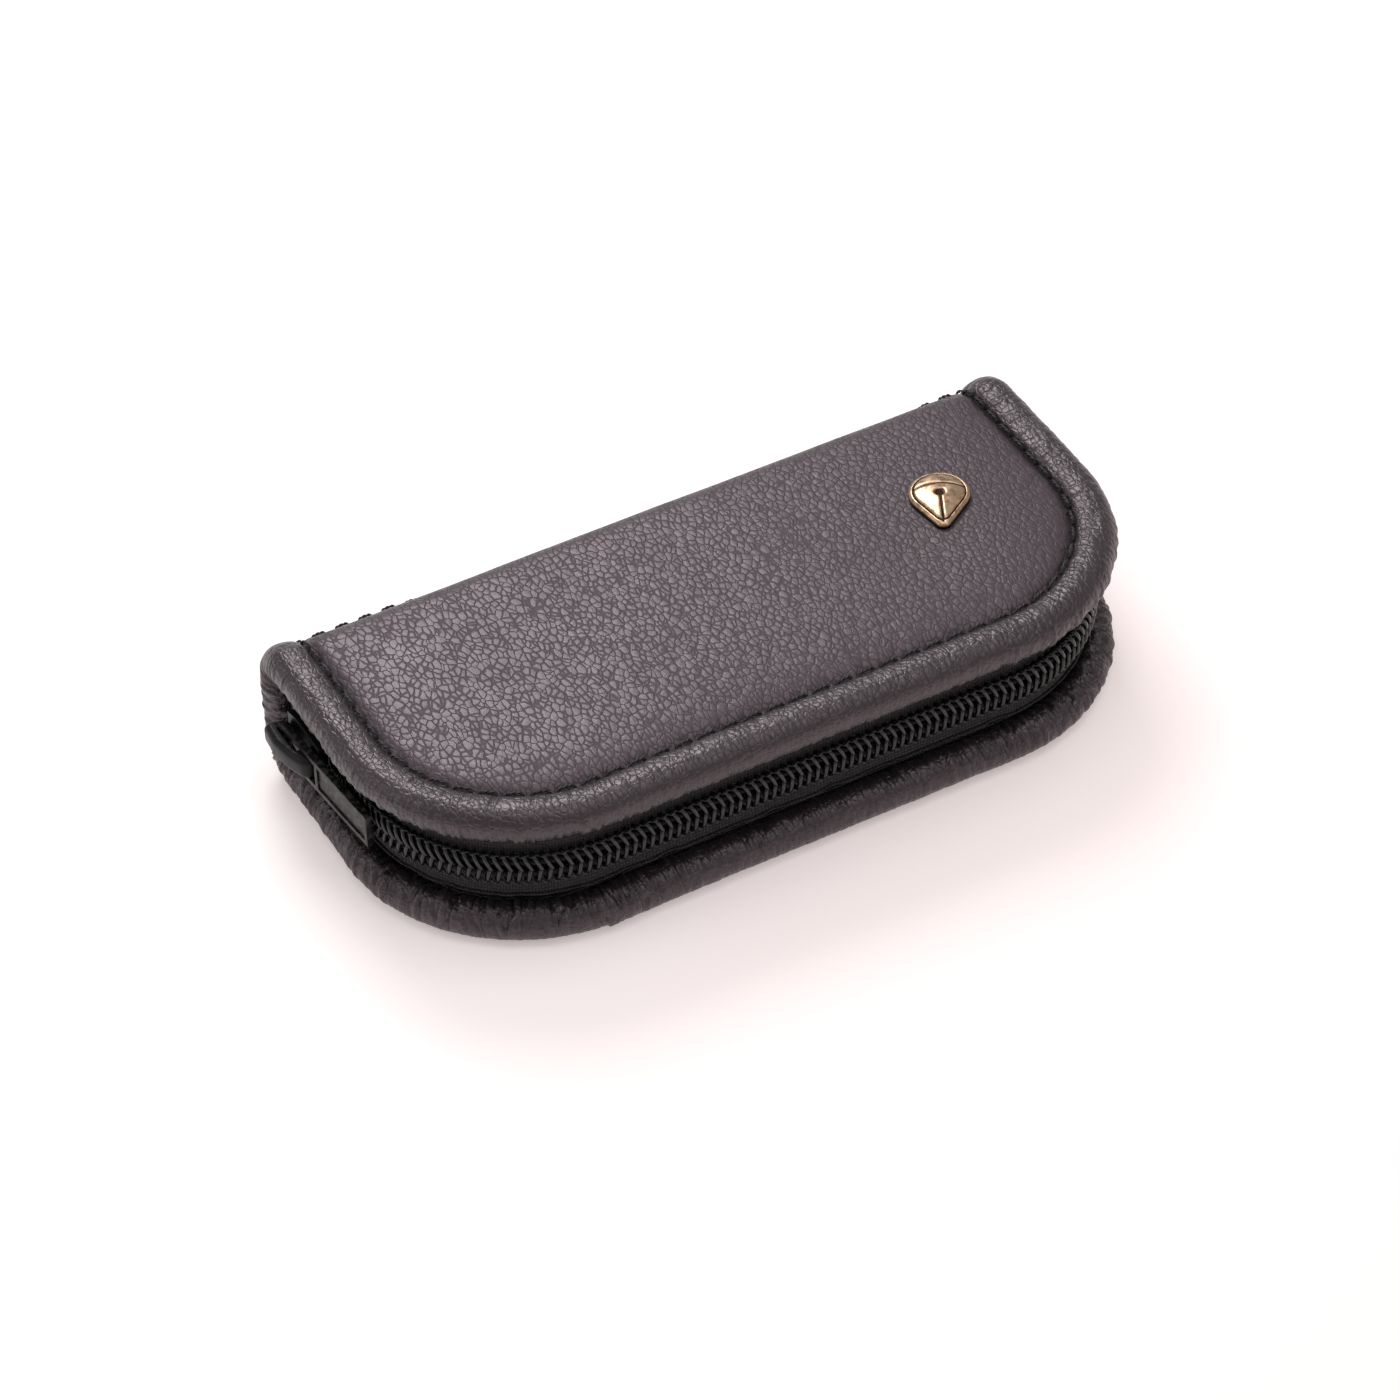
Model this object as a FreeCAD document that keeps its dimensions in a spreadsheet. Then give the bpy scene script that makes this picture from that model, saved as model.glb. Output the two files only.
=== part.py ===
import FreeCAD, Part
import math
import os

import Sketcher

# Zip-around fountain pen case: two padded leather panels joined by a folding spine, an edge roll round
# three sides of each panel, and a coil zip between the rolls. Millimetres. +X runs along the case, -Y is
# the zip side, +Y the spine, and z = 0 is the face that the closed case rests on.

os.makedirs("parts", exist_ok=True)
doc = FreeCAD.newDocument("pen_case")
ORIGIN_POINT = (-1, 1)

# ---------------------------------------------------------------- driving dimensions
DIMENSIONS = {
    # the whole case
    "case_length": 154.0, "case_depth": 71.5, "case_height": 31.3,
    "front_corner": 36.0,       # outer radius of the two front corners, seen from above
    "spine_corner": 9.0,        # outer radius where a panel turns up into the spine
    "turn_angle": 44.0,         # each side of the 45 degree fold line owns this much of the turn
    # edge roll: a binding strip over a filler cord, D-shaped in section
    "roll_width": 7.6, "roll_height": 7.3, "roll_skin": 1.2,
    # layers of a panel, from the outside in
    "leather_thick": 1.2, "foam_thick": 2.5, "board_thick": 0.8, "lining_thick": 0.8,
    "board_margin": 2.0,        # the board stops this far inside the foam
    # stitching sunk in a groove beside the roll
    "groove_width": 1.0, "groove_depth": 0.7, "thread_thick": 0.5,
    "stitch_pitch": 5.0, "stitch_length": 3.8, "loop_stitch": 2.0,
    # coil zip
    "chain_inset": 4.5, "chain_width": 6.2, "coil_thick": 2.4, "chain_gap": 1.0,
    "tape_thick": 0.6, "tape_margin": 0.4, "coil_bore": 0.7, "coil_cord_slack": 0.1,
    "tape_end": 8.0,            # the tapes stop this far in front of the back of the spine
    "stop_length": 1.6, "stop_skin": 0.2, "bottom_stop_length": 3.2,
    # slider and its pull
    "slider_length": 13.0, "slider_wall": 1.2, "slider_play": 0.3, "slider_flange": 1.0,
    "post_width": 0.8, "post_length": 2.6, "plate_taper": 0.9,
    "crown_width": 4.4, "crown_height": 4.2, "crown_tail_height": 2.5, "crown_skin": 0.9,
    "crown_nose_run": 1.8, "crown_top_run": 5.0, "crown_tail_run": 1.6,
    "crown_nose_share": 0.7, "crown_tail_share": 0.6,    # of the height, where the ends start to round over
    "pull_play": 0.3, "pull_thick": 1.4, "pull_arm": 1.0, "pull_length": 29.5, "pull_pin": 0.7,
    "pull_eye": 11.6, "pull_tilt": 5.0, "pull_recess": 0.35, "pull_frame": 0.9,
    "lock_thick": 0.4, "lock_room": 0.9, "lock_width": 1.2, "lock_length": 5.0,
    "tooth_length": 0.9, "tooth_play": 0.2, "pivot_setback": 2.6, "tooth_setback": 6.2,
    # pen loops
    "pen_diameter": 14.0, "loop_play": 0.25, "loop_thick": 1.0, "loop_width": 14.0,
    "loop_place": 38.0, "loop_foot": 4.0, "pen_pitch": 21.5,
    # badge near the right end of the lid
    "badge_length": 15.0, "badge_width": 11.5, "badge_rise": 2.4, "badge_rim": 0.6, "badge_tip": 0.8,
    "badge_x": 47.3, "badge_y": 3.5, "badge_turn": 65.0, "prong_spread": 8.0, "prong_thick": 1.0,
    "plate_thick": 0.5, "plate_margin": 1.0,
}
dim = doc.addObject("Spreadsheet::Sheet", "dim")
for row, (alias, value) in enumerate(DIMENSIONS.items(), start=1):
    dim.set(f"A{row}", alias)
    dim.set(f"B{row}", str(value))
    dim.setAlias(f"B{row}", alias)
doc.recompute()

# ---------------------------------------------------------------- places worked out from them
END = "(dim.case_length/2)"
FRONT = "(-dim.case_depth/2)"
BACK = "(dim.case_depth/2)"
TURN_Y = "(dim.case_depth/2 - dim.spine_corner)"          # where the panels start to turn up
CORNER_Y = "(dim.front_corner - dim.case_depth/2)"        # centre of the front corners
CORNER_X = "(dim.case_length/2 - dim.front_corner)"
MIDDLE = "(dim.case_height/2)"
UPPER_TURN = "(dim.case_height - dim.spine_corner)"
WALL = "(dim.case_height - 2*dim.spine_corner)"            # height of the flat spine wall
GROOVE_END = "(dim.roll_width + dim.groove_width)"
BOARD_INSET = "(dim.roll_width + dim.board_margin)"
FOAM_Z = "dim.leather_thick"
BOARD_Z = "(dim.leather_thick + dim.foam_thick)"
LINING_Z = "(dim.leather_thick + dim.foam_thick + dim.board_thick)"
FLOOR_Z = "(dim.leather_thick + dim.foam_thick + dim.board_thick + dim.lining_thick)"
COIL_OUT = "(dim.chain_inset - dim.coil_thick/2)"
COIL_IN = "(dim.chain_inset + dim.coil_thick/2)"
TAPE_IN = "(dim.chain_inset + dim.coil_thick/2 + dim.tape_thick)"
SEAM_IN = "(dim.roll_width + dim.tape_thick)"
COIL_LOW = "(dim.case_height/2 - dim.chain_width/2)"
COIL_TOP = "(dim.case_height/2 - dim.chain_gap/2)"
TAPE_TOP = "(dim.case_height/2 - dim.chain_gap/2 - dim.tape_margin)"
TAPE_Y = "(dim.case_depth/2 - dim.tape_end)"
STOP_Y = "(dim.case_depth/2 - dim.tape_end - dim.stop_length)"
NOSE_Y = "(dim.case_depth/2 - dim.tape_end - dim.stop_length - dim.slider_play)"
TAIL_Y = f"({NOSE_Y} - dim.slider_length)"
PLATE_IN = f"({COIL_OUT} - dim.slider_play)"
PLATE_OUT = f"({PLATE_IN} - dim.slider_wall)"
BACK_PLATE = f"({TAPE_IN} + dim.slider_play)"
PIVOT_X = f"(-{END} + {PLATE_OUT} - dim.lock_thick - dim.lock_room - dim.pull_pin)"
PIVOT_Y = f"({NOSE_Y} - dim.pivot_setback)"
TOOTH_Y = f"({PIVOT_Y} - dim.tooth_setback)"


def number(expression):
    """Value of a sheet expression."""
    return float(dim.evalExpression(expression))


nodes = []


def node(kind, label):
    """New object of the document that is exported under its label."""
    made = doc.addObject(kind, label)
    made.Label = label
    nodes.append(made)
    return made


# ---------------------------------------------------------------- sketches
def sketch(body, plane, depth="0", origin=("0", "0")):
    """Sketch on one of the body's own planes, `depth` along its normal."""
    made = body.newObject("Sketcher::SketchObject", "profile")
    support = [item for item in body.Origin.OriginFeatures if item.Role == plane][0]
    made.AttachmentSupport = [(support, "")]
    made.MapMode = "FlatFace"
    made.setExpression("AttachmentOffset.Base.x", origin[0])
    made.setExpression("AttachmentOffset.Base.y", origin[1])
    made.setExpression("AttachmentOffset.Base.z", depth)
    return made


def pin_point(made, point, u, v):
    """Hold a sketch point at two sheet expressions."""
    for kind, place in (("DistanceX", u), ("DistanceY", v)):
        index = made.addConstraint(Sketcher.Constraint(kind, *ORIGIN_POINT, *point, number(place)))
        made.setExpression(f"Constraints[{index}]", place)


def draw(made, corners, closed=True):
    """Chain of edges through `corners`. A corner is (u, v), or (u, v, (centre u, centre v)) when the
    edge that leaves it is an arc of less than half a turn."""
    first = made.GeometryCount
    following = corners[1:] + corners[:1] if closed else corners[1:]
    ends = []
    for index, (corner, after) in enumerate(zip(corners, following), start=first):
        start = FreeCAD.Vector(number(corner[0]), number(corner[1]), 0)
        end = FreeCAD.Vector(number(after[0]), number(after[1]), 0)
        if len(corner) == 2:
            made.addGeometry(Part.LineSegment(start, end))
            ends.append((1, 2))
            continue
        centre = FreeCAD.Vector(number(corner[2][0]), number(corner[2][1]), 0)
        made.addGeometry(counterclockwise_arc(centre, start, end))
        ends.append((1, 2) if turns_left(centre, start, end) else (2, 1))
        hold = made.addConstraint(
            Sketcher.Constraint("DistanceX", *ORIGIN_POINT, index, 3, number(corner[2][0])))
        made.setExpression(f"Constraints[{hold}]", corner[2][0])
    last = made.GeometryCount - 1
    for index, corner in enumerate(corners[:len(following)], start=first):
        pin_point(made, (index, ends[index - first][0]), corner[0], corner[1])
        if index < last:
            made.addConstraint(Sketcher.Constraint(
                "Coincident", index, ends[index - first][1], index + 1, ends[index + 1 - first][0]))
    if closed:
        made.addConstraint(Sketcher.Constraint("Coincident", last, ends[-1][1], first, ends[0][0]))
    else:
        pin_point(made, (last, ends[-1][1]), corners[-1][0], corners[-1][1])
    return made


def turns_left(centre, start, end):
    """Whether the short way from start to end about the centre is counterclockwise."""
    return (start - centre).cross(end - centre).z > 0


def counterclockwise_arc(centre, start, end):
    """The short arc between two points, from whichever end makes it counterclockwise."""
    if not turns_left(centre, start, end):
        start, end = end, start
    angles = [math.atan2(point.y - centre.y, point.x - centre.x) for point in (start, end)]
    if angles[1] < angles[0]:
        angles[1] += 2 * math.pi
    circle = Part.Circle(centre, FreeCAD.Vector(0, 0, 1), (start - centre).Length)
    return Part.ArcOfCircle(circle, *angles)


def draw_circle(made, u, v, radius):
    """Circle in a sketch."""
    index = made.addGeometry(Part.Circle(FreeCAD.Vector(number(u), number(v), 0),
                                         FreeCAD.Vector(0, 0, 1), number(radius)))
    pin_point(made, (index, 3), u, v)
    hold = made.addConstraint(Sketcher.Constraint("Radius", index, number(radius)))
    made.setExpression(f"Constraints[{hold}]", radius)
    return made


def box_corners(left, low, right, high):
    """Corners of a rectangle."""
    return [(left, low), (right, low), (right, high), (left, high)]


# ---------------------------------------------------------------- features
def pad(body, profile, length):
    """Extrude a sketch along its normal."""
    feature = body.newObject("PartDesign::Pad", "pad")
    feature.Profile = profile
    feature.setExpression("Length", length)
    return feature


def turn(body, profile, backwards=False):
    """Carry a section round one side of the spine fold, about the sketch's own horizontal axis."""
    feature = body.newObject("PartDesign::Revolution", "turn")
    feature.Profile = profile
    feature.ReferenceAxis = (profile, ["H_Axis"])
    feature.setExpression("Angle", "dim.turn_angle")
    feature.Reversed = backwards
    return feature


def rim_sweep(body, profile, left_y, right_y):
    """Carry a section at the left end round the three zipped sides."""
    route = sketch(body, "XY_Plane")
    left_corner, right_corner = (f"-{CORNER_X}", CORNER_Y), (CORNER_X, CORNER_Y)
    draw(route, [(f"-{END}", left_y), (f"-{END}", CORNER_Y, left_corner), (f"-{CORNER_X}", FRONT),
                 (CORNER_X, FRONT, right_corner), (END, CORNER_Y), (END, right_y)], closed=False)
    feature = body.newObject("PartDesign::AdditivePipe", "sweep")
    feature.Profile = profile
    feature.Spine = (route, [f"Edge{edge}" for edge in range(1, 6)])
    return feature


def mirrored(source, label, plane="lid"):
    """The same piece turned over: in the lid, or at the other end of the case."""
    made = node("Part::Mirroring", label)
    made.Source = source
    if plane == "lid":
        made.Normal = (0, 0, 1)
        made.setExpression("Base.z", MIDDLE)
    else:
        made.Normal = (1, 0, 0)
    return made


def panel(body, inset, low, thick, back=TURN_Y):
    """Flat layer of a panel: straight spine edge, two round front corners."""
    side = f"({END} - {inset})"
    front = f"({FRONT} + {inset})"
    layer = sketch(body, "XY_Plane", low)
    draw(layer, [(f"-{side}", back), (f"-{side}", CORNER_Y, (f"-{CORNER_X}", CORNER_Y)),
                 (f"-{CORNER_X}", front), (CORNER_X, front, (CORNER_X, CORNER_Y)),
                 (side, CORNER_Y), (side, back)])
    return pad(body, layer, thick)


def rising(points):
    """Section corners measured from the centre line of the spine fold."""
    return [(corner[0], f"({corner[1]}) - dim.spine_corner")
            + tuple((arc[0], f"({arc[1]}) - dim.spine_corner") for arc in corner[2:])
            for corner in points]


def fold(body, points):
    """Carry a section up the base panel's side of the fold."""
    profile = sketch(body, "XZ_Plane", f"-{TURN_Y}", ("0", "dim.spine_corner"))
    for loop in points:
        draw(profile, rising(loop))
    return turn(body, profile)


def at_rim(distance, inset):
    """Point and direction on the line `inset` inside the edge, `distance` from its left end."""
    end, front = number(END) - inset, number(FRONT) + inset
    turn_x, turn_y = number(CORNER_X), number(CORNER_Y)
    radius = dim.front_corner - inset
    straight = number(TURN_Y) - turn_y
    arc = radius * math.pi / 2
    if distance < straight:
        return -end, number(TURN_Y) - distance, -90.0
    distance -= straight
    if distance < arc:
        angle = math.pi + distance / radius
        return (-turn_x + radius * math.cos(angle), turn_y + radius * math.sin(angle),
                math.degrees(angle) + 90.0)
    distance -= arc
    if distance < 2 * turn_x:
        return -turn_x + distance, front, 0.0
    distance -= 2 * turn_x
    if distance < arc:
        angle = 1.5 * math.pi + distance / radius
        return (turn_x + radius * math.cos(angle), turn_y + radius * math.sin(angle),
                math.degrees(angle) + 90.0)
    return end, turn_y + distance - arc, 90.0


def rim_length(inset):
    """Length of the line `inset` inside the edge."""
    straight = number(TURN_Y) - number(CORNER_Y)
    return 2 * straight + math.pi * (dim.front_corner - inset) + 2 * number(CORNER_X)


def thread(length, width, height, place, heading=0.0, axis=(0, 0, 1)):
    """One stitch, centred on a place."""
    stitch = Part.makeBox(length, width, height, FreeCAD.Vector(-length / 2, -width / 2, -height / 2))
    turned = FreeCAD.Rotation(FreeCAD.Vector(*axis), heading)
    stitch.Placement = FreeCAD.Placement(FreeCAD.Vector(*place), turned)
    return stitch


# ---------------------------------------------------------------- panels
def d_section(side, skin):
    """D-shaped section of the edge roll at one end of the case, `skin` inside its surface."""
    radius = f"(dim.roll_height/2 - {skin})"
    centre_u = f"({side}({END} - dim.roll_height/2))"
    outer = f"({side}({END} - {skin}))"
    inner = f"({side}({END} - dim.roll_width + {skin}))"
    middle = "dim.roll_height/2"
    low, high = f"({middle} - {radius})", f"({middle} + {radius})"
    return [(outer, middle, (centre_u, middle)), (centre_u, low), (inner, low), (inner, high),
            (centre_u, high, (centre_u, middle))]


def edge_piece(label, skins):
    """Roll or filler cord round the rim of the base, with both turns into the spine."""
    body = node("PartDesign::Body", label)
    profile = sketch(body, "XZ_Plane", f"-{TURN_Y}")
    for skin in skins:
        draw(profile, d_section("-", skin))
    rim_sweep(body, profile, TURN_Y, TURN_Y)
    fold(body, [d_section("-", skin) for skin in skins])
    fold(body, [d_section("", skin) for skin in skins])
    return body


def base_leather():
    """Outer leather: its edge is thinned from below to sink the stitches."""
    body = node("PartDesign::Body", "base_leather")
    panel(body, "dim.roll_width", "dim.groove_depth", "dim.leather_thick - dim.groove_depth")
    panel(body, GROOVE_END, "0", "dim.groove_depth")
    side, flat = f"({END} - dim.roll_width)", f"({END} - {GROOVE_END})"
    fold(body, [box_corners(f"-{side}", "dim.groove_depth", side, "dim.leather_thick")])
    fold(body, [box_corners(f"-{flat}", "0", flat, "dim.groove_depth")])
    return body


def base_layer(label, inset, low, thick, turned=False):
    """Foam, board or lining of the base."""
    body = node("PartDesign::Body", label)
    panel(body, inset, low, thick)
    if turned:
        side = f"({END} - {inset})"
        fold(body, [box_corners(f"-{side}", low, side, f"({low} + {thick})")])
    return body


def base_stitching():
    """Stitches in the groove of the base."""
    line = dim.roll_width + dim.groove_width / 2
    count = int(rim_length(line) // dim.stitch_pitch)
    pitch = rim_length(line) / count
    threads = []
    for index in range(count):
        x, y, heading = at_rim((index + 0.5) * pitch, line)
        threads.append(thread(dim.stitch_length, dim.thread_thick, dim.thread_thick,
                              (x, y, dim.groove_depth - dim.thread_thick / 2), heading))
    made = node("Part::Feature", "base_stitching")
    made.Shape = Part.makeCompound(threads)
    return made


# ---------------------------------------------------------------- zip
def inset_x(inset):
    """X of a line `inset` inside the left edge."""
    return f"(-{END} + {inset})"


def base_zip_tape():
    """Woven tape: up from the chain's back, over the roll and down into the seam."""
    body = node("PartDesign::Body", "base_zip_tape")
    section = sketch(body, "XZ_Plane", f"-{TAPE_Y}")
    top = "dim.roll_height"
    over = "(dim.roll_height + dim.tape_thick)"
    draw(section, [(inset_x(COIL_IN), top), (inset_x("dim.roll_width"), top),
                   (inset_x("dim.roll_width"), FLOOR_Z), (inset_x(SEAM_IN), FLOOR_Z),
                   (inset_x(SEAM_IN), over), (inset_x(TAPE_IN), over),
                   (inset_x(TAPE_IN), TAPE_TOP), (inset_x(COIL_IN), TAPE_TOP)])
    rim_sweep(body, section, TAPE_Y, TAPE_Y)
    return body


def coil(label, left_y, right_y, cord=False):
    """Half of the chain in the base: the coil's envelope with its bore, or the cord inside it."""
    body = node("PartDesign::Body", label)
    section = sketch(body, "XZ_Plane", f"-{left_y}")
    centre = (inset_x("dim.chain_inset"), f"(({COIL_LOW} + {COIL_TOP})/2)")
    if cord:
        draw_circle(section, *centre, "dim.coil_bore - dim.coil_cord_slack")
    else:
        draw(section, box_corners(inset_x(COIL_OUT), COIL_LOW, inset_x(COIL_IN), COIL_TOP))
        draw_circle(section, *centre, "dim.coil_bore")
    rim_sweep(body, section, left_y, right_y)
    return body


def stop(label, side, length):
    """Clip pressed over the edge of the base tape at one end of its coil."""
    body = node("PartDesign::Body", label)
    section = sketch(body, "XZ_Plane", f"-{TAPE_Y}")
    roof = "(dim.case_height/2 - dim.chain_gap/2)"

    def at(inset):
        return f"({side}({END} - {inset}))"

    draw(section, [(at(COIL_OUT), COIL_LOW), (at(COIL_IN), COIL_LOW), (at(COIL_IN), TAPE_TOP),
                   (at(TAPE_IN), TAPE_TOP), (at(TAPE_IN), COIL_LOW),
                   (at(f"({TAPE_IN} + dim.stop_skin)"), COIL_LOW),
                   (at(f"({TAPE_IN} + dim.stop_skin)"), roof), (at(COIL_OUT), roof)])
    pad(body, section, length)
    return body


def slider_body():
    """Two plates joined by the post at the nose, with flanges that hold the coils in."""
    body = node("PartDesign::Body", "slider_body")
    tall = "(dim.chain_width/2 + dim.slider_play)"
    post = sketch(body, "XZ_Plane", f"-({NOSE_Y} - dim.slider_play)")
    draw(post, box_corners(inset_x(PLATE_IN), f"({MIDDLE} - dim.post_width/2)",
                           inset_x(BACK_PLATE), f"({MIDDLE} + dim.post_width/2)"))
    pad(body, post, "dim.post_length")
    edge = f"({tall} + dim.slider_flange)"
    narrow = f"({edge} - dim.plate_taper)"
    shoulder = f"({NOSE_Y} - dim.slider_length/4)"
    outline = [(NOSE_Y, f"({MIDDLE} - {narrow})"), (shoulder, f"({MIDDLE} - {edge})"),
               (TAIL_Y, f"({MIDDLE} - {edge})"), (TAIL_Y, f"({MIDDLE} + {edge})"),
               (shoulder, f"({MIDDLE} + {edge})"), (NOSE_Y, f"({MIDDLE} + {narrow})")]
    outer = sketch(body, "YZ_Plane", inset_x(PLATE_OUT))
    draw(outer, outline)
    half = "(dim.lock_width/2 + dim.tooth_play)"
    draw(outer, box_corners(f"({TOOTH_Y} - dim.tooth_length/2 - dim.tooth_play)", f"({MIDDLE} - {half})",
                            f"({TOOTH_Y} + dim.tooth_length/2 + dim.tooth_play)", f"({MIDDLE} + {half})"))
    pad(body, outer, "dim.slider_wall")
    inner = sketch(body, "YZ_Plane", inset_x(BACK_PLATE))
    draw(inner, outline)
    pad(body, inner, "dim.slider_wall")
    for sign in ("+", "-"):
        flange = sketch(body, "XZ_Plane", f"-{shoulder}")
        near, far = f"({MIDDLE} {sign} {tall})", f"({MIDDLE} {sign} {edge})"
        draw(flange, box_corners(inset_x(PLATE_IN), near, inset_x(f"({COIL_IN} - dim.slider_play)"), far))
        pad(body, flange, "dim.slider_length*3/4")
    return body


def slider_crown():
    """Hooded bridge over the outer plate, high at the nose and low at the tail."""
    body = node("PartDesign::Body", "slider_crown")
    profile = sketch(body, "XY_Plane", f"({MIDDLE} - dim.crown_width/2)")
    base = inset_x(PLATE_OUT)

    def loop(skin):
        nose, tail = f"({NOSE_Y} - {skin})", f"({TAIL_Y} + {skin})"
        high, low = f"(dim.crown_height - {skin})", f"(dim.crown_tail_height - {skin})"
        return [(base, nose), (f"({base} - {high}*dim.crown_nose_share)", nose),
                (f"({base} - {high})", f"({NOSE_Y} - dim.crown_nose_run)"),
                (f"({base} - {high})", f"({NOSE_Y} - dim.crown_top_run)"),
                (f"({base} - {low})", f"({TAIL_Y} + dim.crown_tail_run)"),
                (f"({base} - {low}*dim.crown_tail_share)", tail), (base, tail)]

    outer, inner = loop("0"), loop("dim.crown_skin")
    draw(profile, outer + inner[::-1])
    pad(body, profile, "dim.crown_width")
    return body


def pull_tab():
    """Forked pull: two arms joined by the pin under the crown, then a framed tab."""
    body = node("PartDesign::Body", "pull_tab")
    inner = "(dim.crown_width/2 + dim.pull_play)"
    outer = f"({inner} + dim.pull_arm)"
    shank = "(-dim.pull_eye)"
    fork = sketch(body, "YZ_Plane", "-dim.pull_thick/2")
    draw(fork, [("dim.pull_pin", inner), ("dim.pull_pin", outer), ("-dim.pull_length", outer),
                ("-dim.pull_length", f"-{outer}"), ("dim.pull_pin", f"-{outer}"),
                ("dim.pull_pin", f"-{inner}"), (shank, f"-{inner}"), (shank, inner)])
    pad(body, fork, "dim.pull_thick")
    pin = sketch(body, "XY_Plane", f"-{outer}")
    draw_circle(pin, "0", "0", "dim.pull_pin")
    pad(body, pin, f"2*{outer}")
    doc.recompute()
    frame = sketch(body, "YZ_Plane", "-dim.pull_thick/2")
    edge = f"({outer} - dim.pull_frame)"
    draw(frame, box_corners("(dim.pull_frame - dim.pull_length)", f"-{edge}",
                            f"({shank} - dim.pull_frame)", edge))
    recess = body.newObject("PartDesign::Pocket", "recess")
    recess.Profile = frame
    recess.Reversed = True
    recess.setExpression("Length", "dim.pull_recess")
    body.setExpression("Placement.Base.x", PIVOT_X)
    body.setExpression("Placement.Base.y", PIVOT_Y)
    body.setExpression("Placement.Base.z", MIDDLE)
    body.setExpression("Placement.Rotation.Angle", "dim.pull_tilt * 1 deg")
    return body


def lock_pin():
    """Leaf on the outer plate whose tooth reaches through it into the chain."""
    body = node("PartDesign::Body", "lock_pin")
    leaf = sketch(body, "YZ_Plane", inset_x(f"({PLATE_OUT} - dim.lock_thick)"))
    low, high = f"({MIDDLE} - dim.lock_width/2)", f"({MIDDLE} + dim.lock_width/2)"
    front = f"({TOOTH_Y} - dim.tooth_length/2)"
    draw(leaf, box_corners(front, low, f"({front} + dim.lock_length)", high))
    pad(body, leaf, "dim.lock_thick")
    tooth = sketch(body, "YZ_Plane", inset_x(PLATE_OUT))
    draw(tooth, box_corners(front, low, f"({front} + dim.tooth_length)", high))
    pad(body, tooth, "dim.slider_wall + dim.slider_play/2")
    return body


# ---------------------------------------------------------------- spine
def spine_strip(body, near, far, half, turned=True):
    """Strip of the spine wall between two depths from its outer face, with its share of both folds."""
    def section(level):
        profile = sketch(body, "XY_Plane", level, ("0", TURN_Y))
        return draw(profile, box_corners(f"-{half}", f"(dim.spine_corner - {far})",
                                         half, f"(dim.spine_corner - {near})"))

    pad(body, section("dim.spine_corner"), WALL)
    if turned:
        turn(body, section("dim.spine_corner"), backwards=True)
        turn(body, section(UPPER_TURN))


def spine_leather():
    """Outer leather of the spine: its ends are thinned from outside to sink the stitches."""
    body = node("PartDesign::Body", "spine_leather")
    spine_strip(body, "dim.groove_depth", "dim.leather_thick", f"({END} - dim.roll_width)")
    spine_strip(body, "0", "dim.groove_depth", f"({END} - {GROOVE_END})")


def spine_layer(label, near, far, inset, turned=False):
    """Foam, board or lining of the spine."""
    body = node("PartDesign::Body", label)
    spine_strip(body, near, far, f"({END} - {inset})", turned)


def spine_edge(label, skins):
    """Roll or filler cord up the left end of the spine."""
    body = node("PartDesign::Body", label)

    def section(level):
        profile = sketch(body, "XY_Plane", level, ("0", TURN_Y))
        for skin in skins:
            draw(profile, [(corner[0], f"(dim.spine_corner - {corner[1]})")
                           + tuple((arc[0], f"(dim.spine_corner - {arc[1]})") for arc in corner[2:])
                           for corner in d_section("-", skin)])
        return profile

    pad(body, section("dim.spine_corner"), WALL)
    turn(body, section("dim.spine_corner"), backwards=True)
    turn(body, section(UPPER_TURN))
    return body


def spine_stitching():
    """Stitches beside both rolls of the spine."""
    line = number(END) - dim.roll_width - dim.groove_width / 2
    y = number(BACK) - dim.groove_depth + dim.thread_thick / 2
    room = number(UPPER_TURN) - dim.spine_corner
    count = max(1, int(room // dim.stitch_pitch))
    threads = []
    for side in (-1, 1):
        for index in range(count):
            z = dim.spine_corner + (index + 0.5) * room / count
            threads.append(thread(dim.thread_thick, dim.thread_thick, dim.stitch_length, (side * line, y, z)))
    made = node("Part::Feature", "spine_stitching")
    made.Shape = Part.makeCompound(threads)
    return made


# ---------------------------------------------------------------- pen loops
def pen_loop(label, side):
    """Elastic band with an arch over each of two pens."""
    body = node("PartDesign::Body", label)
    inner = "(dim.pen_diameter/2 + dim.loop_play)"
    outer = f"({inner} + dim.loop_thick)"
    pen = "(dim.pen_pitch/2)"
    axis_z = f"({FLOOR_Z} + {inner})"
    foot = f"({FLOOR_Z} + dim.loop_thick)"
    centre = (pen, axis_z)
    section = sketch(body, "YZ_Plane", f"({side}dim.loop_place - dim.loop_width/2)")
    draw(section, [("0", FLOOR_Z), (f"({pen} - {inner})", FLOOR_Z), (f"({pen} - {inner})", axis_z, centre),
                   (pen, f"({axis_z} + {inner})", centre), (f"({pen} + {inner})", axis_z),
                   (f"({pen} + {inner})", FLOOR_Z), (f"({pen} + {outer} + dim.loop_foot)", FLOOR_Z),
                   (f"({pen} + {outer} + dim.loop_foot)", foot), (f"({pen} + {outer})", foot),
                   (f"({pen} + {outer})", axis_z, centre), (pen, f"({axis_z} + {outer})", centre),
                   (f"({pen} - {outer})", axis_z), (f"({pen} - {outer})", foot), ("0", foot)])
    half = pad(body, section, "dim.loop_width")
    both = body.newObject("PartDesign::Mirrored", "both")
    both.Originals = [half]
    both.MirrorPlane = ([item for item in body.Origin.OriginFeatures if item.Role == "XZ_Plane"][0], [""])
    body.Tip = both
    return body


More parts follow.
